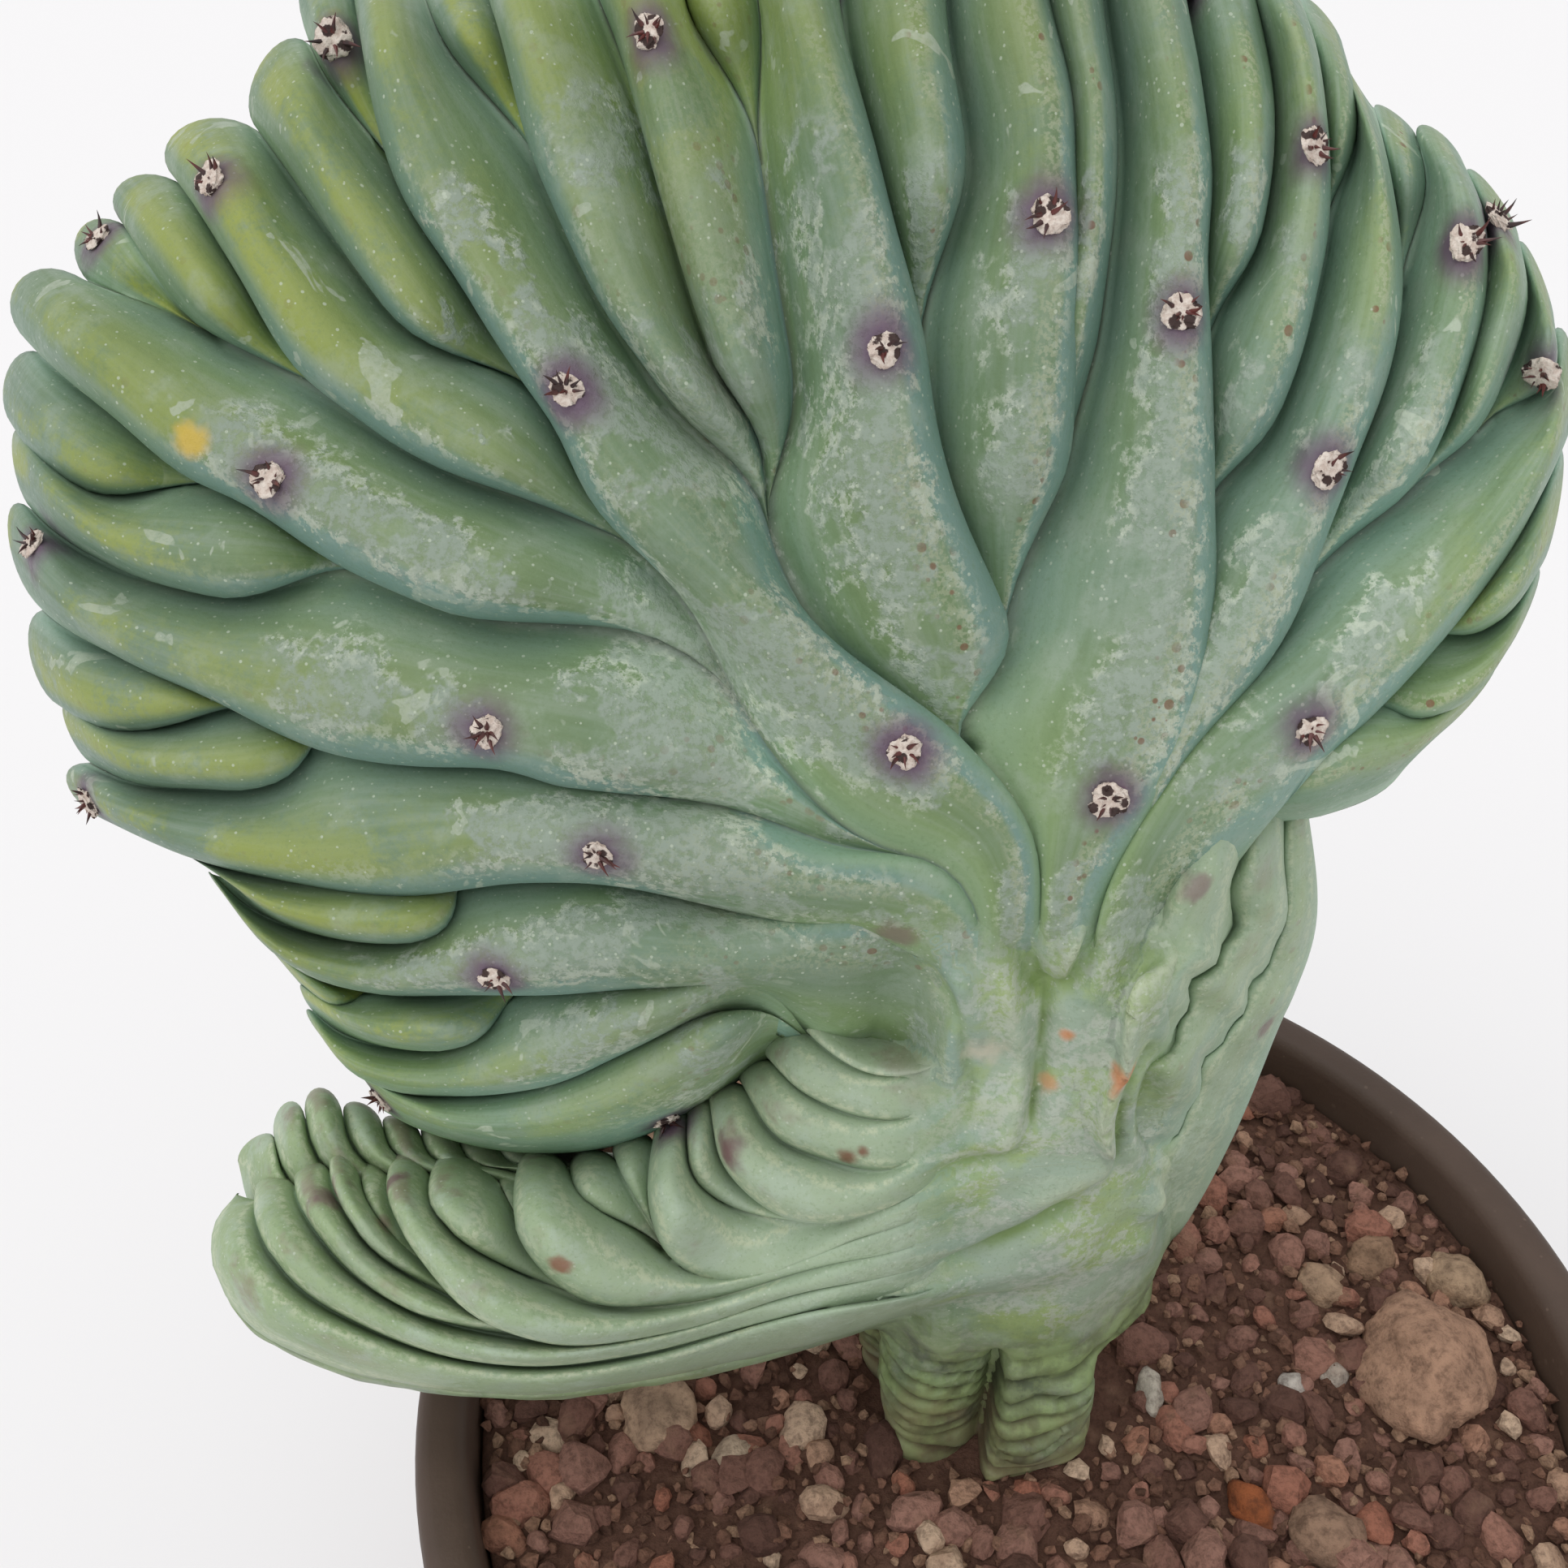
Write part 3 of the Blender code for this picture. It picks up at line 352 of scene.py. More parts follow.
def buildSkin(marks, hub):
    paint = Finish("cactusSkin", 0.5, 0.4, skinLook["tones"])
    noise, ramp, times = paint.noise, paint.ramp, paint.times
    x, _, z = paint.split(paint.place)
    broad, mottle = noise(24.0), noise(130.0, 6.0, 0.62)
    fine, grit = noise(900.0, 4.0, 0.7), noise(2100.0, 2.0, 0.6)
    paint.colour = paint.blend(ramp(broad, 0.36, 0.64), "blueGreen", "midGreen")
    paint.layer(ramp(mottle, 0.50, 0.74, 0.0, 0.32), "deepGreen")
    ribs = paint.split(paint.add("ShaderNodeUVMap", uv_map="ribMap").outputs["UV"])
    across = paint.math("FRACT", ribs["X"])
    back = ribs["Y"]  # centimetres behind the rib's tip
    own = paint.add("ShaderNodeTexWhiteNoise", {"W": paint.math("FLOOR", ribs["X"])},
                    noise_dimensions="1D").outputs["Value"]
    crest, worn, halo = [paint.attribute(name) for name in ("crest", "worn", "halo")]
    leftward, fanward = ramp(x, *skinLook["leftFrom"]), ramp(z, *skinLook["fanFrom"])

    # the steep flank of a rib counts as its low side on the left and on the right of the plant
    turned = paint.add("ShaderNodeMix", {0: leftward, 2: paint.less(1.0, across), 3: across},
                       data_type="FLOAT").outputs[0]
    steep = paint.group(raggedBandGroup, Value=turned, Low=-0.2, High=0.42, Tear=0.08, Softness=0.05,
                        Scale=140.0)
    blue = times(steep["Mask"], ramp(back, 1.0, 4.0, 0.25, 0.85), fanward, ramp(broad, 0.3, 0.6, 0.65, 1.0))

    # faint streaks run along each rib
    streakPlace = paint.join(X=times(ribs["X"], 15.0), Y=times(back, 0.45), Z=0.0)
    streaks = noise(1.0, 4.0, 0.6, place=streakPlace)
    paint.layer(ramp(streaks, 0.46, 0.66, 0.0, 0.30), "chalk")
    paint.layer(ramp(streaks, 0.50, 0.34, 0.0, 0.30), "deepGreen")
    paint.layer(blue, "turquoise")
    paint.layer(ramp(turned, 0.70, 0.95), "valleyBlue", ramp(mottle, 0.3, 0.6, 0.35, 0.75))

    # young skin near the tips and along the ridges is yellow green
    ridgeLine = times(ramp(turned, 0.30, 0.46), ramp(turned, 0.86, 0.50))
    stippled = ramp(paint.scaled(fine, 0.35, noise(60.0, 4.0)), 0.56, 0.74)
    young = times(ramp(back, 8.5, 0.5), ridgeLine, stippled, ramp(z, 0.185, 0.215, 0.3, 1.0))
    paint.layer(young, "yellowGreen", paint.scaled(leftward, 0.42, paint.scaled(own, 0.38, 0.14)))

    # chalky crust with torn edges along the ridge, more of it towards the hub
    band = paint.group(raggedBandGroup, Value=turned, Low=0.40, High=0.70, Tear=0.55, Softness=0.03,
                       Scale=260.0)
    reach = paint.group(raggedBandGroup, Value=back, Low=paint.scaled(own, 2.6, 2.6), High=15.0, Tear=3.6,
                        Softness=0.5, Scale=90.0)
    torn = times(reach["Mask"], ramp(noise(48.0, 6.0, 0.66), 0.465, 0.505), fanward)
    crust = times(band["Mask"], torn, ramp(fine, 0.38, 0.56, 0.35, 0.95))
    paint.layer(crust, "chalk")
    paint.layer(times(band["Rim"], torn, ramp(fine, 0.46, 0.54)), "scratch", 0.85)
    edge = times(steep["Rim"], ramp(fine, 0.48, 0.56), ramp(mottle, 0.42, 0.54), fanward, ramp(back, 1.5, 5.0))
    paint.layer(edge, "scratch", 0.7)

    # short pale rubs on the fingers
    rubs = noise(135.0, 3.0, 0.55, twist=0.9)
    paint.layer(times(ramp(rubs, 0.655, 0.672), ramp(crest, 0.35, 0.65), ramp(back, 8.0, 5.0, 0.25, 0.62),
                      ramp(fine, 0.35, 0.55, 0.55, 1.0)), "scratch")

    # brown corky grains and a pale gritty line along ridges, more of them on the right
    onRight = ramp(x, -0.06, -0.01, 0.15, 1.0)
    corky = paint.group(speckleGroup, Scale=720.0, Size=0.42, Cover=0.50, Patches=60.0)["Mask"]
    ridgeOnly = times(ramp(turned, 0.36, 0.46), ramp(turned, 0.58, 0.50))
    gritty = times(ridgeOnly, ramp(grit, 0.44, 0.58), ramp(mottle, 0.40, 0.55), onRight, fanward)
    paint.layer(gritty, "grit", 0.5)
    paint.layer(times(corky, ridgeOnly, onRight, 0.85), "cork")

    # painted light and shade: valleys are made lighter and ridges a little darker, the right side lighter,
    # and the low blades lighter, most of all the shaded ones on the left
    shadedLowLeft = times(leftward, ramp(z, 0.218, 0.188))
    paintedLightFactor = times(ramp(crest, 0.20, 0.95, 1.30, 0.86), ramp(x, -0.015, 0.025, 0.95, 1.22),
                  ramp(z, 0.230, 0.190, 1.0, 1.10), paint.scaled(shadedLowLeft, 0.32, 1.0))
    grey = paint.add("ShaderNodeCombineColor", {"Red": paintedLightFactor, "Green": paintedLightFactor, "Blue": paintedLightFactor})
    paint.layer(ramp(z, 0.150, 0.175), paint.blend(1.0, paint.colour, grey.outputs["Color"], "MULTIPLY"))

    # round the hub the valleys are fresh green; elsewhere painted shade ends them in a thin dark line
    hubward = ramp(paint.vector("DISTANCE", paint.place, hub)["Value"], *skinLook["hubReach"])
    paint.layer(times(hubward, ramp(crest, 0.98, 0.70), 0.5), "freshGreen")
    creviceShadeStrength = paint.less(1.0, times(paint.math("MAXIMUM", hubward, worn), 0.85))
    paint.layer(ramp(crest, 0.12, 0.0, 0.0, 0.75), "creviceShade", creviceShadeStrength)

    # the lobe and the flange are worn: chalky all over, with brown purple edges along the ribs
    wornTone = paint.blend(ramp(crest, 0.45, 0.10), "wornGreen", "wornValley")
    wornTone = paint.blend(ramp(noise(85.0, 4.0, 0.6), 0.48, 0.66, 0.0, 0.6), wornTone, "wornDeep")
    wornTone = paint.blend(ramp(x, -0.095, -0.040, 0.10, 0.65), wornTone, "wornPale")
    paint.layer(worn, wornTone, 0.88)
    paint.layer(times(worn, ramp(paint.scaled(fine, 0.4, mottle), 0.66, 0.86, 0.05, 0.75),
                      ramp(crest, 0.05, 0.30)), "wornPale")
    paint.layer(times(worn, ramp(crest, 0.62, 0.78), ramp(crest, 0.96, 0.84), ramp(fine, 0.42, 0.58)),
                "wornRim", 0.75)
    stains = ramp(noise(95.0, 4.0, 0.6), 0.50, 0.62, 0.0, 0.5)
    paint.layer(times(worn, ramp(crest, 0.86, 0.98), ramp(back, 4.5, 0.5), stains), "wornEdge")

    # older, flaky skin where the saddle smooths the ribs away, with its own creases and pale ridges
    trunk = ramp(paint.attribute("saddle"), 0.05, 0.6)
    old = paint.blend(ramp(noise(70.0, 5.0, 0.6), 0.44, 0.58), "trunkGreen", "trunkYellow")
    old = paint.blend(ramp(noise(42.0, 6.0, 0.68), 0.50, 0.62, 0.0, 0.65), old, "trunkDeep")
    flaky = times(ramp(noise(110.0, 6.0, 0.65), 0.49, 0.52), ramp(fine, 0.40, 0.56))
    old = paint.blend(times(flaky, 0.75), old, "flake")
    paint.layer(trunk, old, 0.85)
    # the trunk's creases are painted a darker olive green, their own colour together with painted shade
    creased = times(trunk, ramp(crest, 0.95, 0.25, 0.0, 0.85), ramp(mottle, 0.3, 0.6, 0.6, 1.0))
    paint.layer(creased, "creaseShadeGreen")
    paint.layer(paint.attribute("ridged"), "ridgePale", ramp(fine, 0.35, 0.55, 0.4, 0.8))
    stipple = paint.group(speckleGroup, Scale=1250.0, Size=0.27, Cover=0.68, Patches=70.0)
    paint.layer(stipple["Mask"], "scratch", 0.6)
    paint.layer(ramp(mottle, 0.48, 0.34, 0.0, 0.35), "chalk")
    paint.layer(ramp(grit, 0.5, 0.75, 0.0, 0.25), "deepGreen")

    # the foot is mottled and old, with painted shade in its folds and cleft, and dust on it
    patch = noise(210.0, 5.0, 0.6)
    oldTone = paint.blend(ramp(patch, 0.46, 0.60), "oldGreen", "oldYellow")
    oldTone = paint.blend(ramp(patch, 0.44, 0.34, 0.0, 0.85), oldTone, "oldDark")
    paint.layer(times(ramp(z, 0.160, 0.144), ramp(mottle, 0.30, 0.60, 0.60, 0.95)), oldTone)
    paint.layer(times(ramp(z, 0.158, 0.151), ramp(crest, 0.80, 0.10, 0.0, 0.92)), "recessShade")
    paint.layer(paint.group(dustGroup, Low=0.119, High=0.142, Scale=110.0)["Mask"], "dust", 0.55)

    # purple rings round the areoles, then the single marks
    paint.layer(ramp(paint.scaled(paint.less(mottle, 0.5), 0.7, halo), 0.15, 0.80, 0.0, 0.85), "halo")
    wobble = noise(420.0)
    for centre, radius, tint, strength in marks:
        blot = paint.group(pointMarkGroup, Centre=centre, Radius=radius, Wobble=wobble)
        paint.layer(blot["Mask"], shade(*tint), strength)
    relief = paint.scaled(crust, 0.25, paint.scaled(mottle, 0.6, times(fine, 0.25)))
    dull = paint.scaled(crust, 0.2, ramp(fine, 0.3, 0.7, 0.42, 0.58))
    return paint.done(relief, skinLook["reliefStrength"], skinLook["reliefHeight"], dull)


# wool and spines of the areoles
woolTones = {"shaded": (202, 184, 172), "lit": (232, 221, 210), "rotten": (54, 36, 36)}
hornTones = {"dark": (48, 30, 30), "red": (96, 44, 40)}


def buildWool():
    paint = Finish("areoleWool", 0.95, 0.2, woolTones)
    tufts = paint.noise(1500.0, 4.0, 0.7)
    blots = paint.add("ShaderNodeTexVoronoi", {"Vector": paint.place, "Scale": 700.0}).outputs["Distance"]
    torn = paint.scaled(paint.less(tufts, 0.5), 0.5, blots)
    paint.colour = paint.blend(paint.ramp(tufts, 0.35, 0.65), "shaded", "lit")
    paint.layer(paint.ramp(torn, 0.42, 0.34, 0.0, 0.95), "rotten")
    return paint.done(tufts, 0.8, 0.0004)


def buildSpine():
    paint = Finish("spineHorn", 0.4, 0.5, hornTones)
    streak = paint.noise(500.0, 2.0)
    paint.colour = paint.blend(paint.ramp(streak, 0.35, 0.65), "dark", "red")
    return paint.done(streak, 0.3, 0.0002)


# volcanic gravel, fines and stones
def buildGravel(name, tones, grain):
    paint = Finish(name, 0.95, 0.15, {"recessShade": (60, 42, 35), "bloom": (150, 118, 98)})
    stops = paint.add("ShaderNodeValToRGB", {"Fac": paint.attribute("grainTone")})
    stops.color_ramp.interpolation = "LINEAR"
    for index, (position, tint) in enumerate(tones):
        stop = stops.color_ramp.elements[index] if index < 2 else stops.color_ramp.elements.new(position)
        stop.position, stop.color = position, shade(*tint)
    pits, drift = paint.noise(grain, 5.0, 0.7), paint.noise(grain * 0.2)
    paint.colour = stops.outputs["Color"]
    # painted shade in the grains' pits
    paint.layer(paint.ramp(pits, 0.60, 0.30, 0.0, 0.55), "recessShade")
    paint.layer(paint.ramp(drift, 0.55, 0.75, 0.0, 0.5), "bloom")
    return paint.done(pits, 0.9, 0.0009)


# brown moulded plastic of the pot
plasticTones = {"dark": (74, 59, 50), "light": (90, 73, 63), "soil": (120, 94, 76), "scuff": (132, 112, 98)}


def buildPotPlastic():
    paint = Finish("potBrownPlastic", 0.55, 0.35, plasticTones)
    cloud, grain = paint.noise(30.0, 5.0, 0.6), paint.noise(1600.0, 2.0)
    axes = paint.split(paint.place)
    paint.colour = paint.blend(paint.ramp(cloud, 0.35, 0.7), "dark", "light")
    dust = paint.group(dustGroup, Low=0.112, High=0.131, Scale=60.0)["Mask"]
    flat = paint.join(X=axes["X"], Y=axes["Y"], Z=0.0)
    outward = paint.add("ShaderNodeVectorMath", {0: flat}, operation="LENGTH").outputs["Value"]
    inside = paint.ramp(outward, 0.0785, 0.0765)
    paint.layer(paint.times(dust, inside), "soil", 0.6)
    scuffs = paint.group(speckleGroup, Scale=420.0, Size=0.22, Cover=0.5, Patches=40.0)["Mask"]
    paint.layer(scuffs, "scuff", 0.35)
    return paint.done(grain, 0.25, 0.0002, paint.ramp(cloud, 0.3, 0.7, 0.48, 0.64))


print("finishes ready")

# layout of the ribs
# Each rib is a line in millimetres on a sheet held in front of the camera, from its root to its tip.
# The lines are thrown along rays onto the plant, so they fall where the photograph has them.
tilt = math.radians(view["tiltDown"])
sheet = {
    "eye": np.array(view["place"]),
    "distance": 187.83,
    "centre": 96.6,
    "ahead": np.array([0.0, math.cos(tilt), -math.sin(tilt)]),
    "upward": np.array([0.0, math.sin(tilt), math.cos(tilt)]),
    "fanLean": 0.488,
    "hubHeight": 0.218,
    "bowCentre": (110, 75),
}
fanLeftSide = [
    (109, 190), (107, 176), (107, 166), (106, 152), (106, 138), (102, 131), (95, 131), (87, 136), (76, 141),
    (66, 142), (57, 140.8), (50, 138.4), (46.6, 136.4),
]
fanRightSide = [
    (131, 190), (134.5, 177), (137, 168), (142, 160), (143.5, 150), (142.5, 136), (143, 122), (146, 109),
    (153, 102), (163, 100.5), (171, 97), (175.5, 91),
]
fanRibs = [
    [(107, 121), (97, 122), (91, 127), (84, 132), (76, 136.5), (66, 139), (57, 138.8), (50.5, 137),
     (46, 134.6)],
    [(106, 118), (90, 120.5), (83, 124), (74, 128), (65, 131.5), (55, 133.3), (47, 132.6), (41.5, 130),
     (38.6, 126.4)],
    [(74, 120.5), (65, 125), (58, 127), (50, 127.5), (43, 126), (37.2, 122.4)],
    [(57, 122), (45, 123.8), (40, 122.8), (35.5, 119.5)],
    [(112, 190), (112, 172), (113, 150), (115, 135), (115.5, 124), (112, 117), (105, 118), (92, 118.5),
     (75, 118.5), (60, 119.5), (45, 120.5), (36, 118), (31, 114.5), (27, 109.5)],
    [(70, 107.5), (64, 109.5), (52, 113.5), (45, 114), (38, 113), (30, 110), (25, 106)],
    [(124, 121), (120.5, 113), (112, 110.5), (100, 109.5), (90, 107.5), (74, 105), (60, 104.5), (45, 106),
     (30, 105), (20, 102.5), (9, 98)],
    [(51, 92.5), (45, 93), (25, 94.5), (15, 93.5), (8, 89)],
    [(40, 90), (25, 87), (10, 86), (4, 82)],
    [(101, 97.5), (95, 95.5), (76, 93.5), (60, 90), (50, 89), (40, 87), (25, 82.5), (15, 78.5),
     (6, 72), (1, 66)],
    [(50, 74), (43, 72), (35, 70.5), (25, 69.5), (15, 67), (7, 62), (1.5, 56)],
    [(30, 64.5), (20, 61.5), (10, 57), (3, 51), (0.5, 47)],
    [(80, 80), (72, 75.5), (65, 74), (50, 68), (40, 63), (33, 59), (25, 55), (15, 47), (6, 39), (2, 35)],
    [(25, 42.5), (17, 36), (10, 28)],
    [(40, 50), (33, 45), (27, 38), (21, 30), (15, 22.5)],
    [(76, 70.5), (64, 59), (50, 50.5), (40, 43), (32, 32), (25, 20), (22, 16)],
    [(65, 53), (58, 46), (50, 36), (42, 24), (36, 14), (32, 8)],
    [(47, 22), (43, 12), (40, 2), (38, -5)],
    [(122.5, 190), (123.5, 172), (123, 150), (123, 135), (125, 120), (124, 104), (111.5, 92.5), (98, 80),
     (85, 68), (76, 58), (69.7, 48), (61, 35), (53, 22), (48, 8), (46, -4)],
    [(67, 22), (62, 12), (57, 2), (54, -6)],
    [(98, 64), (88, 52), (78, 38), (72, 24), (67, 10), (64, 0), (62, -8)],
    [(99.5, 65), (94, 52), (90, 40), (85.5, 25), (82, 12), (79, 0), (76, -10)],
    [(93, 20), (91, 10), (88, 0), (86, -12)],
    [(126, 97), (122, 88), (116.5, 74), (111, 58), (109, 43), (106.5, 28), (103, 14), (99, 0), (96, -14)],
    [(115, 43), (115.5, 32), (115.5, 20), (113, 5), (111, -8), (108, -17)],
    [(126.8, 77), (127.5, 56), (129, 40), (129.5, 26), (129, 12), (126, 0), (124, -10), (121, -19)],
    [(130, 61), (131.5, 48), (133.5, 36), (135, 24), (135, 12), (133, 0), (131, -18)],
    [(126, 190), (128.5, 172), (129.5, 150), (130.5, 135), (130.5, 122), (132, 110), (137, 98.5), (142, 88),
     (144.5, 74), (145.5, 60), (146, 47), (146, 33), (146.5, 20), (145, 9), (143, 0), (140, -15)],
    [(147.8, 50), (150, 38), (153.5, 27), (154.5, 13), (152, 0), (149, -10)],
    [(146, 69), (150, 60), (155, 49), (160, 34), (162, 18), (160, 4), (156.5, -5)],
    [(161, 35), (164.5, 22), (165.5, 10), (163.5, 2)],
    [(136, 116), (139, 105), (145, 92), (154, 78), (160.5, 65), (165, 54), (169, 42), (170.5, 28),
     (169.5, 18), (167, 10)],
    [(171, 41), (173, 30), (173.5, 22), (172, 14)],
    [(160, 72), (166, 65), (174, 55), (178.5, 45), (181, 34), (180.5, 24), (177, 16)],
    [(171, 64), (180, 53), (184.5, 43), (186.5, 34), (184.5, 24)],
    [(181, 58), (188, 50), (191, 43), (190, 34)],
    [(129, 190), (132.5, 172), (137.5, 152), (138, 135), (139, 120), (143, 108), (151, 98), (161, 90.5),
     (170, 82), (180, 72), (186, 64), (191.5, 54), (194, 46)],
    [(168, 85), (175, 81), (182, 76), (188, 70), (192, 63)],
    [(160, 92.5), (168, 90), (176, 87), (184, 82), (188, 76)],
    [(146, 102), (155, 97.5), (165, 94.5), (174, 92), (181, 87)],
]

lobeLeftSide = [
    (142, 156), (132, 159), (120, 161), (112, 162), (104, 164.5), (95, 167), (76, 171), (65, 172.5),
    (56, 171.5), (40, 168), (30, 162), (26.5, 155), (27, 150), (29.5, 147),
]
lobeRightSide = [(142, 123), (131, 121), (122, 122), (113, 125), (107, 125), (102, 122), (100, 119)]
lobeRibs = [
    [(142, 154.5), (131, 157.3), (120, 159.3), (106, 162.5), (95, 165), (80, 169), (66, 170.9), (55, 170),
     (42, 166.4), (32, 161), (28.2, 155), (28, 150.7), (29.8, 147.4)],
    [(142, 152.5), (131, 154.7), (120, 156.2), (106, 159.2), (95, 161.8), (80, 165.8), (66, 167.3), (56, 166),
     (46, 162.2), (38, 156.8), (34, 151.5), (32.8, 148), (33, 144.9)],
    [(75, 164.6), (62, 163.8), (51, 160.4), (44, 155.5), (40, 150.5), (38, 146.8), (37.6, 143)],
    [(63, 162), (53, 158.4), (47, 153.8), (43.6, 149), (42, 145.2), (41.8, 141.4)],
    [(55, 159.5), (49.5, 155.5), (46.8, 151), (45.5, 147), (45.7, 143)],
    [(142, 150), (131, 152), (120, 153.5), (108, 156.5), (99, 158.5), (85, 163), (70, 164.5), (62, 162),
     (55, 156), (51, 151), (49.2, 146.5), (49.8, 142)],
    [(72, 160.5), (63, 157), (57.5, 152), (55.2, 147), (55.8, 142.3)],
    [(64, 152.5), (60.8, 148.5), (61.3, 143.2)],
    [(142, 147), (131, 148.5), (120, 149.5), (110, 153), (100, 155.5), (88, 159), (76, 159), (70, 155),
     (66.7, 150.5), (66, 146), (66.3, 141.7)],
    [(82, 156.5), (76, 152.5), (72, 147.5), (71.8, 141.7)],
    [(84, 153.5), (79.5, 149.5), (77, 145), (76.5, 139.4)],
    [(142, 144), (131, 145), (120, 146), (110, 150), (101, 154), (92, 156.5), (86, 153.5), (82.5, 147),
     (82.3, 136.9)],
    [(100, 151.5), (92, 150), (87, 146), (85.6, 135.2)],
    [(142, 140.5), (131, 141), (120, 141.5), (112, 146), (104, 148.5), (97, 147), (91, 142.5), (88.2, 133.6)],
    [(142, 136.5), (131, 136), (120, 136), (112, 140.5), (104, 141), (98, 139), (91.7, 131.3)],
    [(142, 132.5), (131, 131.5), (120, 131.5), (112, 135), (105, 135), (100, 133), (94.5, 127.8)],
    [(142, 128.5), (131, 127), (121, 126.5), (113, 129.5), (107, 129.5), (102, 127), (98, 123)],
]

lobeBackLeftSide = [(108, 156.3), (85, 158.5), (60, 159), (40.5, 155), (31, 149), (29.3, 143)]
lobeBackRightSide = [(108, 143.6), (95, 143), (84, 142.6), (77, 142.2), (73, 141.6), (71, 140.8)]
lobeBackRibs = [
    [(108, 155), (85, 157), (60, 157), (42, 152.5), (33.5, 147), (31.6, 140)],
    [(108, 153.7), (85, 155.2), (60, 154.5), (44, 149.5), (37, 143.5), (35, 136)],
    [(108, 152.4), (85, 153.5), (62, 152), (47.5, 147), (41, 141.5), (39.3, 134)],
    [(108, 151.1), (85, 151.8), (64, 150), (51.5, 145.5), (46, 141.5), (44.3, 135.8)],
    [(108, 149.8), (86, 150.2), (67, 148.2), (56, 145), (50.5, 142), (49, 137.5)],
    [(108, 148.5), (88, 148.6), (70, 146.8), (60.5, 144.5), (55.3, 142.5), (53.7, 138.5)],
    [(108, 147.2), (90, 147), (74, 145.6), (65, 144), (60, 143), (58.3, 140)],
    [(108, 146), (92, 145.6), (78, 144.6), (69.5, 143.8), (65, 142.8), (63, 140.5)],
    [(108, 144.8), (94, 144.3), (82, 143.8), (74.5, 143.3), (70, 142.6), (68, 140.8)],
]

flangeLeftSide = [(124, 138), (126, 124), (128, 110), (130, 96)]
flangeRightSide = [(138, 161), (146, 151), (152, 140), (157, 128), (162, 115), (160.5, 95)]
flangeRibs = [
    [(126, 146), (129, 132), (132, 119), (135, 109), (135, 94)],
    [(128, 152), (136, 138), (143, 122), (148, 111), (150, 93)],
    [(131, 155), (141, 141), (148, 127), (155, 115), (156, 94)],
    [(134.5, 158), (144, 147), (151, 133), (159.5, 116), (160, 96)],
]


def rayPoints(spots, depth):
    side = (spots[:, 0] - sheet["centre"]) / sheet["distance"]
    rise = (sheet["centre"] - spots[:, 1]) / sheet["distance"]
    rays = sheet["ahead"] + side[:, None] * np.array([1.0, 0, 0]) + rise[:, None] * sheet["upward"]
    return sheet["eye"] + depth[:, None] * rays


def wallSlant(spots):
    # how squarely a ray meets an upright wall
    return sheet["ahead"][1] + (sheet["centre"] - spots[:, 1]) / sheet["distance"] * sheet["upward"][1]


def wallDepth(y, lean, shift):
    # depth along a ray to an upright wall moved back by shift, or to one that leans back from the hub
    rise = (sheet["centre"] - y) / sheet["distance"]
    along = sheet["ahead"][1] + rise * sheet["upward"][1]
    climb = sheet["ahead"][2] + rise * sheet["upward"][2]
    return (shift - sheet["eye"][1] + lean * (sheet["eye"][2] - sheet["hubHeight"])) / (along - lean * climb)


def fanDepth(spots):
    upright = wallDepth(spots[:, 1], 0.0, 0.0)
    leaning = wallDepth(spots[:, 1], sheet["fanLean"], 0.0)
    soft = 0.005  # how gently the two walls run into each other
    joined = soft * np.logaddexp(upright / soft, leaning / soft)
    away = np.hypot(spots[:, 0] - sheet["bowCentre"][0], spots[:, 1] - sheet["bowCentre"][1]) / 100
    return joined + ease((150 - spots[:, 1]) / 60) * (0.011 * away**2 - 0.006)


def fanSlant(spots):
    upright = wallSlant(spots)
    return upright + (1 - upright) * ease((128 - spots[:, 1]) / 38)


def lobeDepth(spots):
    forward = ease((spots[:, 1] - 138) / 34) * ease((122 - spots[:, 0]) / 22)
    return wallDepth(spots[:, 1], 0.0, 0.001 - 0.015 * forward)


def lobeBackDepth(spots):
    return lobeDepth(spots) + 0.009 * ease((112 - spots[:, 0]) / 25)


def flangeDepth(spots):
    across, down = spots[:, 0], spots[:, 1]
    waves = np.sin(down * 0.62 + across * 0.38) + 0.6 * np.sin(down * 0.31 - across * 0.55)
    return wallDepth(down, 0.0, 0.003) + 0.0009 * waves


class RibTrack:
    # a smooth curve on the sheet, read by the distance back from its tip
    def __init__(self, points):
        given = np.array(points, float)
        chord = np.concatenate([[0], np.cumsum(np.linalg.norm(np.diff(given, axis=0), axis=1))])
        slope = np.gradient(given, chord, axis=0)
        fineRun = np.linspace(0, chord[-1], 20 * len(given))
        span = np.clip(np.searchsorted(chord, fineRun, side="right") - 1, 0, len(given) - 2)
        step = (chord[span + 1] - chord[span])[:, None]
        f = (fineRun - chord[span])[:, None] / step
        line = (2 * f**3 - 3 * f**2 + 1) * given[span] + (f**3 - 2 * f**2 + f) * step * slope[span]
        self.line = line + (3 * f**2 - 2 * f**3) * given[span + 1] + (f**3 - f**2) * step * slope[span + 1]
        run = np.concatenate([[0], np.cumsum(np.linalg.norm(np.diff(self.line, axis=0), axis=1))])
        self.length = run[-1]
        self.back = run - self.length

    def at(self, back):
        return np.array([np.interp(-back, self.back, self.line[:, axis]) for axis in (0, 1)])


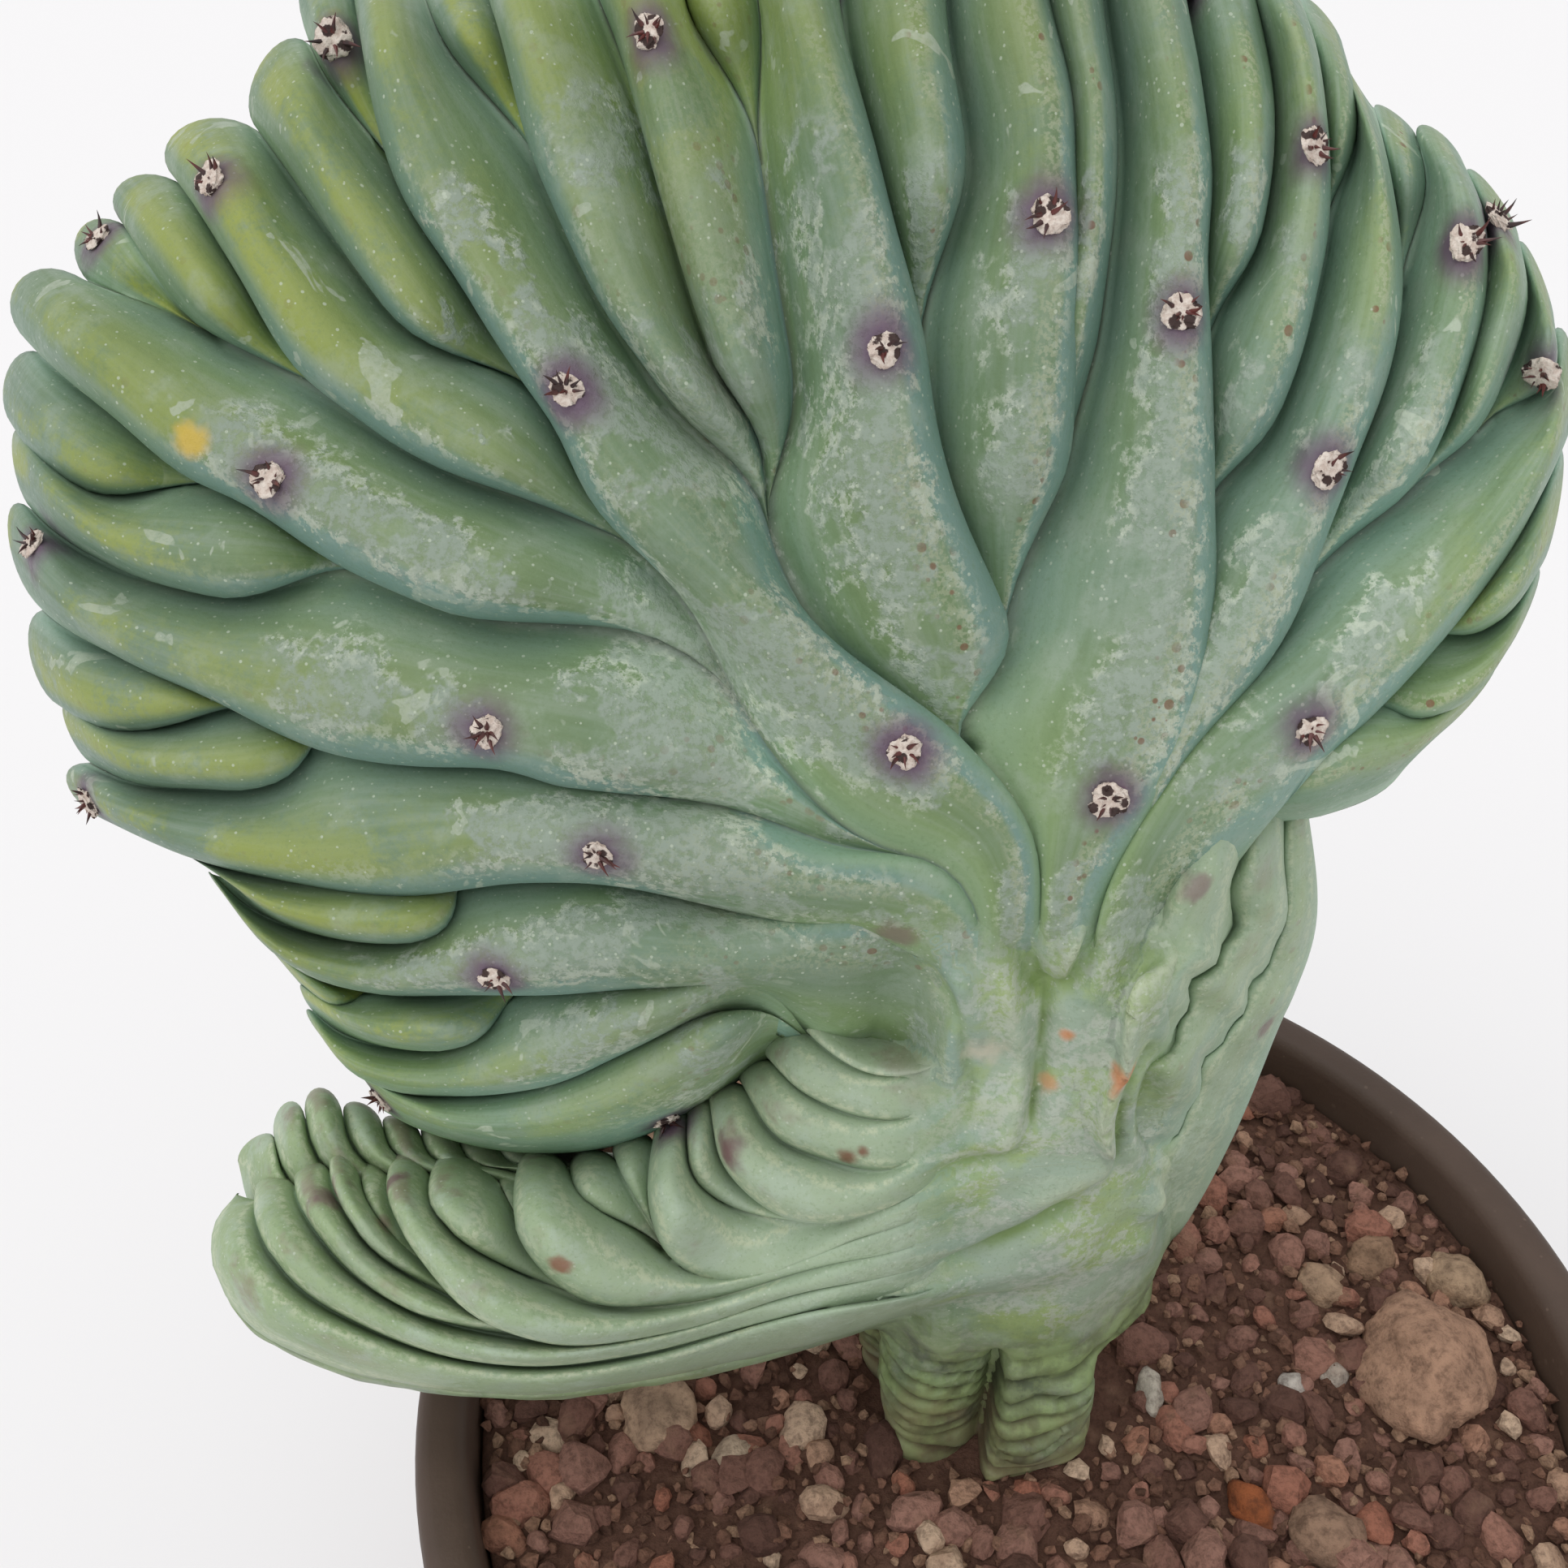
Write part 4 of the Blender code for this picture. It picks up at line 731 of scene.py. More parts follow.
class RibbedSheet:
    # two ribbed faces that share their sides and, at the tips, the growth line
    deepestNotch = 6.5
    tipReach = 10.0
    opening = 22.0
    shallow = 0.0022  # ribs lower than this get no painted shade in their valleys

    def __init__(self, left, right, ribs, depthAt, slantAt, core, height, squareness, lean, rear=1.0,
                 tucked=None):
        self.sides = RibTrack(left), RibTrack(right)
        self.tracks = [RibTrack(points) for points in ribs]
        self.count = len(ribs)
        self.depthAt, self.slantAt = depthAt, slantAt
        self.core, self.height, self.squareness = core, height, squareness
        self.lean = lean  # 0.5 puts a valley midway, 1 right beside the later of its two ribs
        self.rear = rear
        self.tucked = tucked or {}
        feet = np.array([points[0] for points in ribs], float)
        ends = np.array(left[0], float), np.array(right[0], float)
        reach = np.linalg.norm(ends[0] - ends[1]) / 2 + 2
        self.whole = [np.linalg.norm(foot - (ends[0] + ends[1]) / 2) <= reach for foot in feet]
        anchors = [i for i in range(self.count) if self.whole[i]]
        lengths = [self.sides[0].length] + [self.tracks[i].length for i in anchors] + [self.sides[1].length]
        self.total = np.interp(range(self.count), [-1] + anchors + [self.count], lengths)
        tips = np.array([points[-1] for points in ribs], float)
        apart = np.linalg.norm(np.diff(tips, axis=0), axis=1)
        beside = np.convolve(np.concatenate([apart[:1], apart, apart[-1:]]), [0.5, 0.5], "valid")
        outline = np.gradient(tips, axis=0)
        outline = outline / np.linalg.norm(outline, axis=1)[:, None]
        endings = tips - np.array([track.at(7.0) for track in self.tracks])
        endings = endings / np.linalg.norm(endings, axis=1)[:, None]
        square = np.abs(outline[:, 0] * endings[:, 1] - outline[:, 1] * endings[:, 0])
        self.notch = np.clip(0.62 * beside * square, 0.6, self.deepestNotch)

    def plan(self, level):
        # where ridges and valleys cross one ring, and how far each rib has opened
        run = (1 - level) * self.total
        present = []
        for i, track in enumerate(self.tracks):
            present.append(1.0 if self.whole[i] else float(ease((track.length - run[i]) / self.opening)))
        edges = [side.at((1 - level) * side.length) for side in self.sides]
        ridge = [track.at(run[i]) for i, track in enumerate(self.tracks)]
        inner = [track.at(math.hypot(run[i], self.notch[i])) for i, track in enumerate(self.tracks)]
        fromLeft, fromRight = [edges[0]], [edges[1]]
        for i in range(self.count):
            fromLeft.append(present[i] * inner[i] + (1 - present[i]) * fromLeft[-1])
        for i in reversed(range(self.count)):
            fromRight.insert(0, present[i] * inner[i] + (1 - present[i]) * fromRight[0])
        valley = []
        for b in range(self.count + 1):
            someLeft = 1 - np.prod([1 - share for share in present[:b]])
            someRight = 1 - np.prod([1 - share for share in present[b:]])
            share = self.lean(level, 0.5 * (fromLeft[b] + fromRight[b])[0])
            spot = (1 - share) * fromLeft[b] + share * fromRight[b]
            spot = spot * someLeft * someRight + edges[0] * (1 - someLeft)
            valley.append(spot + edges[1] * (1 - someRight) * someLeft)
        valley = np.array(valley)
        steps = np.linalg.norm(np.diff(valley, axis=0), axis=1)
        place = np.clip(np.concatenate([[0], np.cumsum(steps)]) / steps.sum() * 2 - 1, -1, 1)
        return run, np.array(present), np.array(ridge), valley, place

    def labels(self, present):
        # the same label for every valley that a rib not yet begun leaves at one point
        made = []
        for b in range(self.count + 1):
            if not present[:b].any():
                made.append("left")
            elif not present[b:].any():
                made.append("right")
            else:
                made.append(made[-1] if present[b - 1] == 0 else b)
        return made

    def rounding(self, back):
        # the quarter round that ends every rib
        return np.sqrt(np.clip(1 - (1 - np.minimum(back / self.tipReach, 1.0)) ** 2, 0, 1))

    def thickness(self, level, spots, place, back):
        power = self.squareness(level, place)
        full = self.core(level, spots) * (1 - np.abs(place) ** power) ** (1 / power)
        return full * self.rounding(back)

    def ring(self, level, across, last):
        # both faces' crossing of one ring: keys, points, crest height and the run behind each rib's tip
        run, present, ridge, valley, place = self.plan(level)
        labels = self.labels(present)
        back = np.concatenate([run[:1], 0.5 * (run[1:] + run[:-1]), run[-1:]])
        floors = self.thickness(level, valley, place, back)
        floors[[label in ("left", "right") for label in labels]] = 0.0
        middle = 0.5 * (valley[1:] + valley[:-1])
        centre = 0.5 * (place[1:] + place[:-1])
        full = self.thickness(level, middle, centre, run)
        width = np.linalg.norm(np.diff(valley, axis=0), axis=1)
        crest = self.height(level, middle) * present * self.rounding(run)
        thin = 0.35 + 0.65 * full / (self.core(level, middle) + 1e-9)
        crest = crest * thin * (0.55 + 0.45 * ease(width / 9))
        top = full + crest - 0.5 * (floors[1:] + floors[:-1])
        angle = math.pi * np.arange(across) / across
        v = 0.5 - 0.5 * np.cos(angle)
        lift = np.sin(angle) ** np.where(present > 0.999, 0.86, 1.0)[:, None]
        reach = present[:, None] * (ridge - middle)
        spots = valley[:-1, None] * (1 - v)[None, :, None] + valley[1:, None] * v[None, :, None]
        spots = (spots + reach[:, None] * lift[:, :, None]).reshape(-1, 2)
        offsets = (floors[:-1, None] * (1 - v) + floors[1:, None] * v + top[:, None] * lift).reshape(-1)
        folded = ease(crest / self.shallow)
        crests = (1 - (1 - lift * present[:, None]) * folded[:, None]).reshape(-1)
        spots = np.concatenate([spots, valley[-1:]])
        offsets = np.concatenate([offsets, floors[-1:]])
        crests = np.concatenate([crests, [1 - folded[-1]]])
        tuck = np.zeros(self.count)
        for number, amount in self.tucked.items():
            tuck[number] = amount * float(ease((30 - run[number]) / 30))
        slide = np.concatenate([(tuck[:, None] * lift).reshape(-1), [0.0]])
        depth, slant = self.depthAt(spots), self.slantAt(spots)
        faces = []
        for side in (-1, 1):
            keys = []
            for b in range(self.count):
                start = (0, labels[b]) if labels[b] in ("left", "right") or last else (side, labels[b])
                keys.append(start)
                keys += [start if present[b] == 0 else (0 if last else side, b, k) for k in range(1, across)]
            keys.append((0, labels[-1]) if labels[-1] in ("left", "right") or last else (side, labels[-1]))
            thick = side * offsets * (self.rear if side > 0 else 1.0)
            faces.append((keys, rayPoints(spots, depth + slide + thick / slant), crests))
        return faces, run

    def build(self, name, levels, across):
        points, crests, corners, where = [], [], {}, []
        for number, level in enumerate(levels):
            faces, run = self.ring(level, across, number == len(levels) - 1)
            row = []
            for keys, spots, lifts in faces:
                indices = []
                for key, spot, lift in zip(keys, spots, lifts):
                    if (number, key) not in corners:
                        corners[number, key] = len(points)
                        points.append(spot)
                        crests.append(lift)
                    indices.append(corners[number, key])
                row.append(indices)
            where.append((row, run))
        polygons, uvs = [], []
        for (lower, lowRun), (upper, highRun) in zip(where, where[1:]):
            for face in (0, 1):
                a, b = lower[face], upper[face]
                for k in range(len(a) - 1):
                    rib = k // across
                    ring = (a[k], a[k + 1], b[k + 1], b[k])
                    spots = ((k / across, lowRun[rib]), ((k + 1) / across, lowRun[rib]),
                             ((k + 1) / across, highRun[rib]), (k / across, highRun[rib]))
                    kept = []
                    for index, spot in zip(ring, spots):
                        if index not in [other for other, _ in kept]:
                            kept.append((index, spot))
                    if len(kept) > 2:
                        kept = kept if face == 0 else kept[::-1]
                        polygons.append([index for index, _ in kept])
                        uvs += [(u, run / 10) for _, (u, run) in kept]
        foot = list(dict.fromkeys(where[0][0][0] + where[0][0][1][::-1]))
        points.append(np.mean([points[index] for index in foot], axis=0))
        crests.append(0.0)
        for k, index in enumerate(foot):
            polygons.append([index, foot[k - 1], len(points) - 1])
            uvs += [(0.5, lowRun[0] / 10)] * 3
        mesh = bpy.data.meshes.new(name)
        mesh.from_pydata(np.array(points).tolist(), [], polygons)
        mesh.uv_layers.new(name="ribMap").data.foreach_set("uv", np.array(uvs, np.float32).reshape(-1))
        addValues(mesh, "crest", crests)
        mesh.shade_smooth()
        return mesh


def grow(name, sheetShape, levels, across):
    # builds one ribbed piece and makes every face point away from the body
    mesh = sheetShape.build(name, levels, across)
    shape = bmesh.new()
    shape.from_mesh(mesh)
    bmesh.ops.recalc_face_normals(shape, faces=shape.faces)
    shape.to_mesh(mesh)
    shape.free()
    return addObject(name, mesh)


def tipLevels(span, widest):
    # rings that close in on the growth line
    return [1 - span * (1 - math.cos(math.radians(angle))) for angle in np.linspace(widest, 0, 9)]


# main fan with its trunk
fanLook = {
    "across": 14,
    "coreEnds": ((0.14, 0.0112), (0.26, 0.0120), (0.370, 0.0142), (0.62, 0.0045)),
    "ribHeights": ((0.14, 0.0002), (0.26, 0.0006), (0.37, 0.0018), (0.64, 0.0108)),
    "leanAmount": 0.30,
    "leanFrom": (74, 112),
    "tucked": {3: 0.003, 8: 0.003, 11: 0.004, 13: 0.006, 14: 0.004, 17: 0.006, 19: 0.007, 22: 0.007, 24: 0.005,
               28: 0.005, 30: 0.005, 32: 0.005},
}


def fanLean(level, x):
    strength = float(ease((level - 0.34) / 0.2) * (1 - 0.55 * ease((level - 0.86) / 0.14)))
    start, end = fanLook["leanFrom"]
    return 0.5 + fanLook["leanAmount"] * strength * (1 - 2 * float(ease((x - start) / (end - start))))


fanShape = RibbedSheet(
    fanLeftSide, fanRightSide, fanRibs, fanDepth, fanSlant,
    core=lambda t, spots: eased(t, *fanLook["coreEnds"]),
    height=lambda t, spots: eased(t, *fanLook["ribHeights"]),
    squareness=lambda t, place: eased(t, (0.38, 2.2), (0.66, 6.0)),
    lean=fanLean, tucked=fanLook["tucked"])
fanLevels = [*np.linspace(0.0, 0.18, 16), *np.linspace(0.19, 0.935, 62), *tipLevels(0.060, 84)]
fan = grow("cactusFan", fanShape, fanLevels, fanLook["across"])
print("fan:", len(fan.data.polygons), "faces")

# lobe that grows low down on the left
lobeLook = {
    "core": ((0, 0.0095), (12, 0.0166), (26, 0.0172), (56, 0.0092)),
    "ribHeight": 0.0070,
    "lean": 0.74,
    "rear": 0.6,
    "across": 12,
}


def lobeEdge(level, place):
    # the roots are boxy towards the lower edge, so that the underside stays full
    grown = float(ease((level - 0.20) / 0.25))
    return 2.6 * grown + (1 - grown) * np.where(place < 0, 4.6, 2.0)


def lobeHeight(level, spots):
    start = 118 - 20 * ease((spots[:, 1] - 147) / 8)
    return eased(start - spots[:, 0], (0, 0.0002), (32, lobeLook["ribHeight"]))


def lobeLean(level, x):
    return 0.5 + (lobeLook["lean"] - 0.5) * float(ease((112 - x) / 14))


lobeShape = RibbedSheet(
    lobeLeftSide, lobeRightSide, lobeRibs, lobeDepth, wallSlant,
    core=lambda t, spots: eased(142 - spots[:, 0], *lobeLook["core"]),
    height=lobeHeight, squareness=lobeEdge, lean=lobeLean, rear=lobeLook["rear"])
lobeTips = tipLevels(0.085, 80)
lobe = grow("cactusLobe", lobeShape, [*np.linspace(0.0, 0.90, 62), *lobeTips], lobeLook["across"])

# the lobe's second row of ribs, which rises behind the first
lobeBackShape = RibbedSheet(
    lobeBackLeftSide, lobeBackRightSide, lobeBackRibs, lobeBackDepth, wallSlant,
    core=lambda t, spots: eased(t, (0.0, 0.0020), (0.45, 0.0070)),
    height=lambda t, spots: eased(t, (0.3, 0.0004), (0.7, 0.0050)),
    squareness=lambda t, place: 2.6, lean=lambda level, x: 0.5)
lobeBack = grow("cactusLobeBack", lobeBackShape, [*np.linspace(0.0, 0.90, 40), *lobeTips], lobeLook["across"])

# wavy flange on the right of the trunk
flangeLook = {
    "core": ((0.0, 0.0105), (0.35, 0.0150), (1.0, 0.0055)),
    "ribHeight": 0.0040,
    "ribGrowth": 0.0026,
    "wave": 0.10,
    "rear": 0.75,
    "across": 14,
}


def flangeLean(level, x):
    inside = float(ease(level / 0.15) * ease((0.94 - level) / 0.2))
    swing = math.sin(level * 11 + x * 0.8) + 0.7 * math.sin(level * 21 + x * 1.7)
    return 0.5 + flangeLook["wave"] * inside * swing


flangeShape = RibbedSheet(
    flangeLeftSide, flangeRightSide, flangeRibs, flangeDepth, wallSlant,
    core=lambda t, spots: eased(t, *flangeLook["core"]),
    height=lambda t, spots: flangeLook["ribHeight"] + flangeLook["ribGrowth"] * t,
    squareness=lambda t, place: 1.15, lean=flangeLean, rear=flangeLook["rear"])
flange = grow("cactusFlange", flangeShape, np.linspace(0, 1, 50), flangeLook["across"])
print("lobe and flange:", len(lobe.data.polygons), len(flange.data.polygons), "faces")

# saddle: a smooth skin over the place where the fan, the lobe and the flange grow out of the trunk
saddleLook = {
    "left": (108.0, 27.0),
    "right": (147.0, 15.0),
    "top": (111.0, 20.0),
    "bottom": (172.0, 13.0),
    "footTop": (0.155, 0.010),
    "cell": 0.00085,
    "rounds": 75,
    "sunk": 0.0012,
    "shell": 0.0008,
    "smallestShare": 0.04,
    "sinkFrom": 0.16,
    "deepest": 0.0024,
    "wear": {"cactusFan": 0.0, "cactusLobe": 1.0, "cactusLobeBack": 1.0, "cactusFlange": 0.7},
    # lines on the sheet: a crease or a ridge, its half width and its height in millimetres
    "lines": [
        ([(123.0, 111.6), (126.0, 117.5), (128.6, 125.5)], 1.7, -2.3),
        ([(129.0, 120), (128.6, 126), (128.1, 132), (126.7, 141)], 0.9, -1.5),
        ([(139.7, 106.5), (136.2, 112.5), (133.0, 118.8), (129.4, 124.6)], 1.8, -2.3),
        ([(130.5, 104), (129.6, 112), (129, 119)], 1.2, -1.2),
        ([(143.5, 127), (140, 133), (138, 139), (137, 146)], 1.0, -1.6),
        ([(152, 124), (146.5, 128.5), (143, 133.5), (141.7, 139), (143.5, 143.5)], 1.5, -2.4),
        ([(149, 136), (145, 142), (141.5, 148)], 1.0, -1.5),
        ([(103, 160.6), (112.2, 158), (122.4, 153.5), (135.3, 147.7)], 1.2, -1.5),
        ([(104, 147), (112, 146.5), (120, 143.5), (128, 141.5)], 1.1, -1.1),
        ([(112.5, 117), (117, 124), (119.5, 132), (119, 141)], 1.2, -1.0),
        ([(133.9, 102.2), (134.6, 109.4), (132.4, 117), (130.3, 122.9)], 0.9, 2.2),
        ([(149.8, 102.9), (148.3, 110.9), (145.4, 117.4), (140.4, 123.9), (138.2, 131.1), (136.1, 136.9),
          (135.5, 143)], 1.0, 2.6),
        ([(154, 126), (151, 132), (147, 139), (143, 145), (140, 151)], 1.0, 1.7),
        ([(123, 118), (125.2, 127), (125, 136), (123, 144)], 1.3, 1.0),
        ([(124, 149), (132, 145), (138, 141)], 1.3, 1.2),
    ],
}

footLook = {
    "top": 0.150,
    "middleX": -0.0035,
    "foldStep": 0.0031,
    "foldDepth": 0.0022,
    "cleftX": -0.0058,
    "cleftLean": 0.055,
    "cleftDepth": 0.0042,
    "cleftWidth": 0.0014,
    "roughness": 0.0012,
    "bulge": 0.0034,
    "leftSet": 0.0062,
    "leftSwell": 0.0050,
    "rightSet": 0.0062,
}


def footFolds(places):
    # the foot is an old, shrunken column: two bulges with a cleft between and folds across;
    # gives how far each place is pushed and how much painted shade its folds and cleft get
    look = footLook
    low = ease((look["top"] - places[:, 2]) / 0.010)
    outward = places[:, :2] - np.array([look["middleX"], 0.0])
    outward = outward / (np.linalg.norm(outward, axis=1) + 1e-9)[:, None]
    fromCleft = places[:, 0] - look["cleftX"] + look["cleftLean"] * (look["top"] - places[:, 2])
    side = np.tanh(fromCleft / 0.003)
    rough = np.array([noise.noise(Vector(place) * 130) for place in places]) * low
    phase = places[:, 2] / look["foldStep"] + 0.30 * side + 0.9 * rough
    phase = phase + 0.25 * np.sin(places[:, 2] * 190 + side)
    phase = phase - 60 * np.abs(fromCleft) * (places[:, 1] < 0.006)
    front = ease((0.004 - places[:, 1]) / 0.006)
    turn = np.arctan2(outward[:, 1], outward[:, 0])
    phase = phase + (1 - front) * (0.35 * np.sin(2 * turn + 1.3) + 0.22 * np.sin(3 * turn))
    wave = np.abs(np.sin(phase * math.pi))
    cleft = np.exp(-((fromCleft / look["cleftWidth"]) ** 2)) * front
    swell = look["bulge"] * np.sin(np.clip((places[:, 2] - 0.111) / 0.036, 0, 1) * math.pi)
    push = look["foldDepth"] * (wave**0.6 - 0.7) * (0.5 + 0.5 * front) - look["cleftDepth"] * cleft + swell
    push = push + look["roughness"] * rough - look["leftSet"] * front * ease(0.5 - side)
    push = push + look["leftSwell"] * np.exp(-(((turn + 2.5) / 0.42) ** 2))
    lowRight = ease((places[:, 0] - 0.004) / 0.008) * ease((0.144 - places[:, 2]) / 0.004)
    push = push - look["rightSet"] * lowRight
    # dark: painted shade in the folds and in the cleft
    dark = low * np.maximum(0.95 * (1 - ease(wave / 0.85)), cleft)
    return np.concatenate([outward * (low * push)[:, None], np.zeros((len(places), 1))], axis=1), dark


def readPlaces(mesh):
    flat = np.zeros(len(mesh.vertices) * 3, np.float32)
    mesh.vertices.foreach_get("co", flat)
    return flat.reshape(-1, 3).astype(float)


def cornerPlaces(shape):
    return np.array([corner.co[:] for corner in shape.verts])


def moveCorners(shape, places):
    for corner, place in zip(shape.verts, places):
        corner.co = place


def onSheet(places):
    # where the line of sight to each place crosses the sheet
    away = places - sheet["eye"]
    depth = away @ sheet["ahead"]
    return np.stack([sheet["centre"] + sheet["distance"] * away[:, 0] / depth,
                     sheet["centre"] - sheet["distance"] * (away @ sheet["upward"]) / depth], axis=1)


def saddleShare(places):
    # 1 where the saddle alone shapes the skin, 0 where the ribs do
    across, down = onSheet(places).T
    share = np.ones(len(places))
    for edge, run, sign in (("left", across, 1), ("right", across, -1), ("top", down, 1), ("bottom", down, -1)):
        start, width = saddleLook[edge]
        share = np.minimum(share, np.clip(sign * (run - start) / width, 0, 1))
    start, width = saddleLook["footTop"]
    return np.maximum(share, np.clip((start - places[:, 2]) / width, 0, 1))


def gathered(pieces):
    whole = bmesh.new()
    for piece in pieces:
        whole.from_mesh(piece.data)
    return whole


def wholeBody(pieces):
    # one even skin round all the pieces
    carrier = addObject("whole", keptMesh("whole", gathered(pieces)))
    remesh = carrier.modifiers.new("remesh", "REMESH")
    remesh.mode, remesh.voxel_size = "VOXEL", saddleLook["cell"]
    made = evaluated(carrier)
    bpy.data.objects.remove(carrier, do_unlink=True)
    return made


def sculptedLines(spots):
    # height of the drawn ridges and creases at each spot, how much painted shade the creases get
    # and how pale the ridges
    height, dark, pale = np.zeros(len(spots)), np.zeros(len(spots)), np.zeros(len(spots))
    for points, width, rise in saddleLook["lines"]:
        line = RibTrack(points).line
        nearest = np.full(len(spots), 1e9)
        for start, end in zip(line[:-1], line[1:]):
            run = end - start
            along = np.clip(((spots - start) @ run) / (run @ run + 1e-12), 0, 1)
            nearest = np.minimum(nearest, np.linalg.norm(spots - start - along[:, None] * run, axis=1))
        ends = np.minimum(np.linalg.norm(spots - line[0], axis=1), np.linalg.norm(spots - line[-1], axis=1))
        profile = np.exp(-((nearest / width) ** 2)) * ease(ends / 4.0)
        height += rise / 1000 * profile
        if rise < 0:
            dark = np.maximum(dark, profile**2 * min(1.0, -rise / 1.8))
        else:
            pale = np.maximum(pale, profile**3 * min(1.0, rise / 1.8))
    return height, dark, pale


def ribsBelow(pieces):
    # a search tree over the ribs' faces, with each face's mean place on the rib map, mean crest and piece
    places, faces, spots, crests, owners = [], [], [], [], []
    for number, piece in enumerate(pieces):
        mesh = piece.data
        start = len(places)
        places += [tuple(corner.co) for corner in mesh.vertices]
        layer = mesh.uv_layers["ribMap"].data
        crest = mesh.attributes["crest"].data
        for face in mesh.polygons:
            faces.append([start + index for index in face.vertices])
            spots.append(np.mean([layer[index].uv[:] for index in face.loop_indices], axis=0))
            crests.append(np.mean([crest[index].value for index in face.vertices]))
            owners.append(number)
    return BVHTree.FromPolygons(places, faces), np.array(spots), np.array(crests), np.array(owners)


def buildSaddle(pieces):
    look = saddleLook
    shape = bmesh.new()
    shape.from_mesh(wholeBody(pieces))
    share = saddleShare(cornerPlaces(shape))
    gone = [corner for corner, amount in zip(shape.verts, share) if amount < look["smallestShare"]]
    bmesh.ops.delete(shape, geom=gone, context="VERTS")
    bmesh.ops.delete(shape, geom=[corner for corner in shape.verts if not corner.link_faces], context="VERTS")
    shape.verts.index_update()
    places = cornerPlaces(shape)
    pairs = np.array([[corner.index for corner in edge.verts] for edge in shape.edges])
    share = saddleShare(places)
    count = np.bincount(pairs.reshape(-1), minlength=len(places))[:, None]
    strength = 0.8 * (share**2.2)[:, None]
    for _ in range(look["rounds"]):
        near = [np.bincount(pairs[:, 0], places[pairs[:, 1], axis], len(places))
                + np.bincount(pairs[:, 1], places[pairs[:, 0], axis], len(places)) for axis in range(3)]
        places = places + strength * (np.stack(near, 1) / count - places)
    moveCorners(shape, places)
    shape.normal_update()
    facing = np.array([corner.normal[:] for corner in shape.verts])
    rough = np.array([noise.noise(Vector(place) * 110) + 0.5 * noise.noise(Vector(place) * 280)
                      for place in places])
    drawn, dark, pale = sculptedLines(onSheet(places))
    front = ease((-0.1 - facing @ sheet["ahead"]) / 0.3)  # only the side that faces the eye is drawn on
    rise = (0.0005 * rough + 0.0004) * ease(share / 0.5) + drawn * front * ease(share / 0.4)
    places = places + facing * (rise - look["sunk"] * ease((0.22 - share) / 0.18))[:, None]
    pushed, footFoldShade = footFolds(places)
    places = places + pushed
    moveCorners(shape, places)
    cover = BVHTree.FromBMesh(shape)
    made = keptMesh("cactusSaddle", shape)
    # rib numbers and crests carry over from the ribs below, so that the colours run on
    below, ribSpots, ribCrests, ribOwners = ribsBelow(pieces)
    nearest = [below.find_nearest(Vector(place))[2] for place in places]
    # dark is painted shade: it lowers the crest, so the skin darkens the drawn creases and the foot's folds
    dark = np.maximum(dark * front, footFoldShade)
    own = ribCrests[nearest] + (1 - ribCrests[nearest]) * ease(share / 0.45)
    addValues(made, "crest", own * (1 - dark))
    addValues(made, "ridged", pale * front)
    wear = np.array([look["wear"][piece.name] for piece in pieces])
    addValues(made, "worn", wear[ribOwners[nearest]] * (1 - ease(share / 0.5)))
    corners = np.zeros(len(made.loops), np.int32)
    made.loops.foreach_get("vertex_index", corners)
    made.uv_layers.new(name="ribMap").data.foreach_set(
        "uv", ribSpots[np.array(nearest)[corners]].astype(np.float32).reshape(-1))
    carrier = addObject("cactusSaddle", made)
    shell = carrier.modifiers.new("shell", "SOLIDIFY")  # a thin closed shell, its back hidden in the body
    shell.thickness, shell.offset = look["shell"], -1.0
    carrier.data = evaluated(carrier)
    carrier.modifiers.clear()
    carrier.data.shade_smooth()
    return carrier, cover


def sinkUnder(mesh, cover):
    # draws the ribs that the saddle covers down below it
    look = saddleLook
    places = readPlaces(mesh)
    share = saddleShare(places)
    for index in np.nonzero(share > look["sinkFrom"])[0]:
        hit, normal, _, _ = cover.find_nearest(Vector(places[index]))
        amount = float(ease((share[index] - look["sinkFrom"]) / 0.3))
        deeper = look["deepest"] * float(ease((share[index] - 0.35) / 0.3))
        target = np.array(hit - normal * (look["sunk"] + deeper))
        places[index] = places[index] * (1 - amount) + target * amount
    mesh.vertices.foreach_set("co", places.astype(np.float32).reshape(-1))
    mesh.update()


saddle, saddleCover = buildSaddle((fan, lobe, flange))
for piece in (fan, lobe, flange):
    sinkUnder(piece.data, saddleCover)
skinPieces = (fan, lobe, lobeBack, flange, saddle)
for piece in skinPieces:
    addValues(piece.data, "saddle", saddleShare(readPlaces(piece.data)))
for piece in (lobe, lobeBack, flange):
    share = saddleShare(readPlaces(piece.data))
    addValues(piece.data, "worn", saddleLook["wear"][piece.name] * (1 - ease(share / 0.5)))
print("saddle:", len(saddle.data.polygons), "faces")


# geometry nodes: what repeats grows on points
def growTree(name, inputs):
    geometry = ("Geometry", geometryKind)
    return newGroup(name, "GeometryNodeTree", [(*geometry, None)] + inputs, [geometry])


def grown(name, base, tree, values):
    # runs a tree on a mesh and keeps the result as a plain mesh of its own
    carrier = addObject(name + "Carrier", base)
    modifier = carrier.modifiers.new("grow", "NODES")
    modifier.node_group = tree
    for item in tree.interface.items_tree:
        if item.in_out == "INPUT" and item.name in values:
            modifier[item.identifier] = values[item.name]
    made = evaluated(carrier)
    carrier.modifiers.clear()
    bpy.data.objects.remove(carrier, do_unlink=True)
    made.name = name
    return addObject(name, made)


def shaken(net, geometry, curls, amount):
    # pushes every point of a shape along its own colour of noise
    push = net.vector("SUBTRACT", curls, (0.5, 0.5, 0.5))["Vector"]
    push = net.add("ShaderNodeVectorMath", {0: push, "Scale": amount}, operation="SCALE").outputs["Vector"]
    return net.shaped("GeometryNodeSetPosition", geometry, Offset=push)


def icoBall(net, radius, detail):
    return net.add("GeometryNodeMeshIcoSphere", {"Radius": radius, "Subdivisions": detail}).outputs["Mesh"]


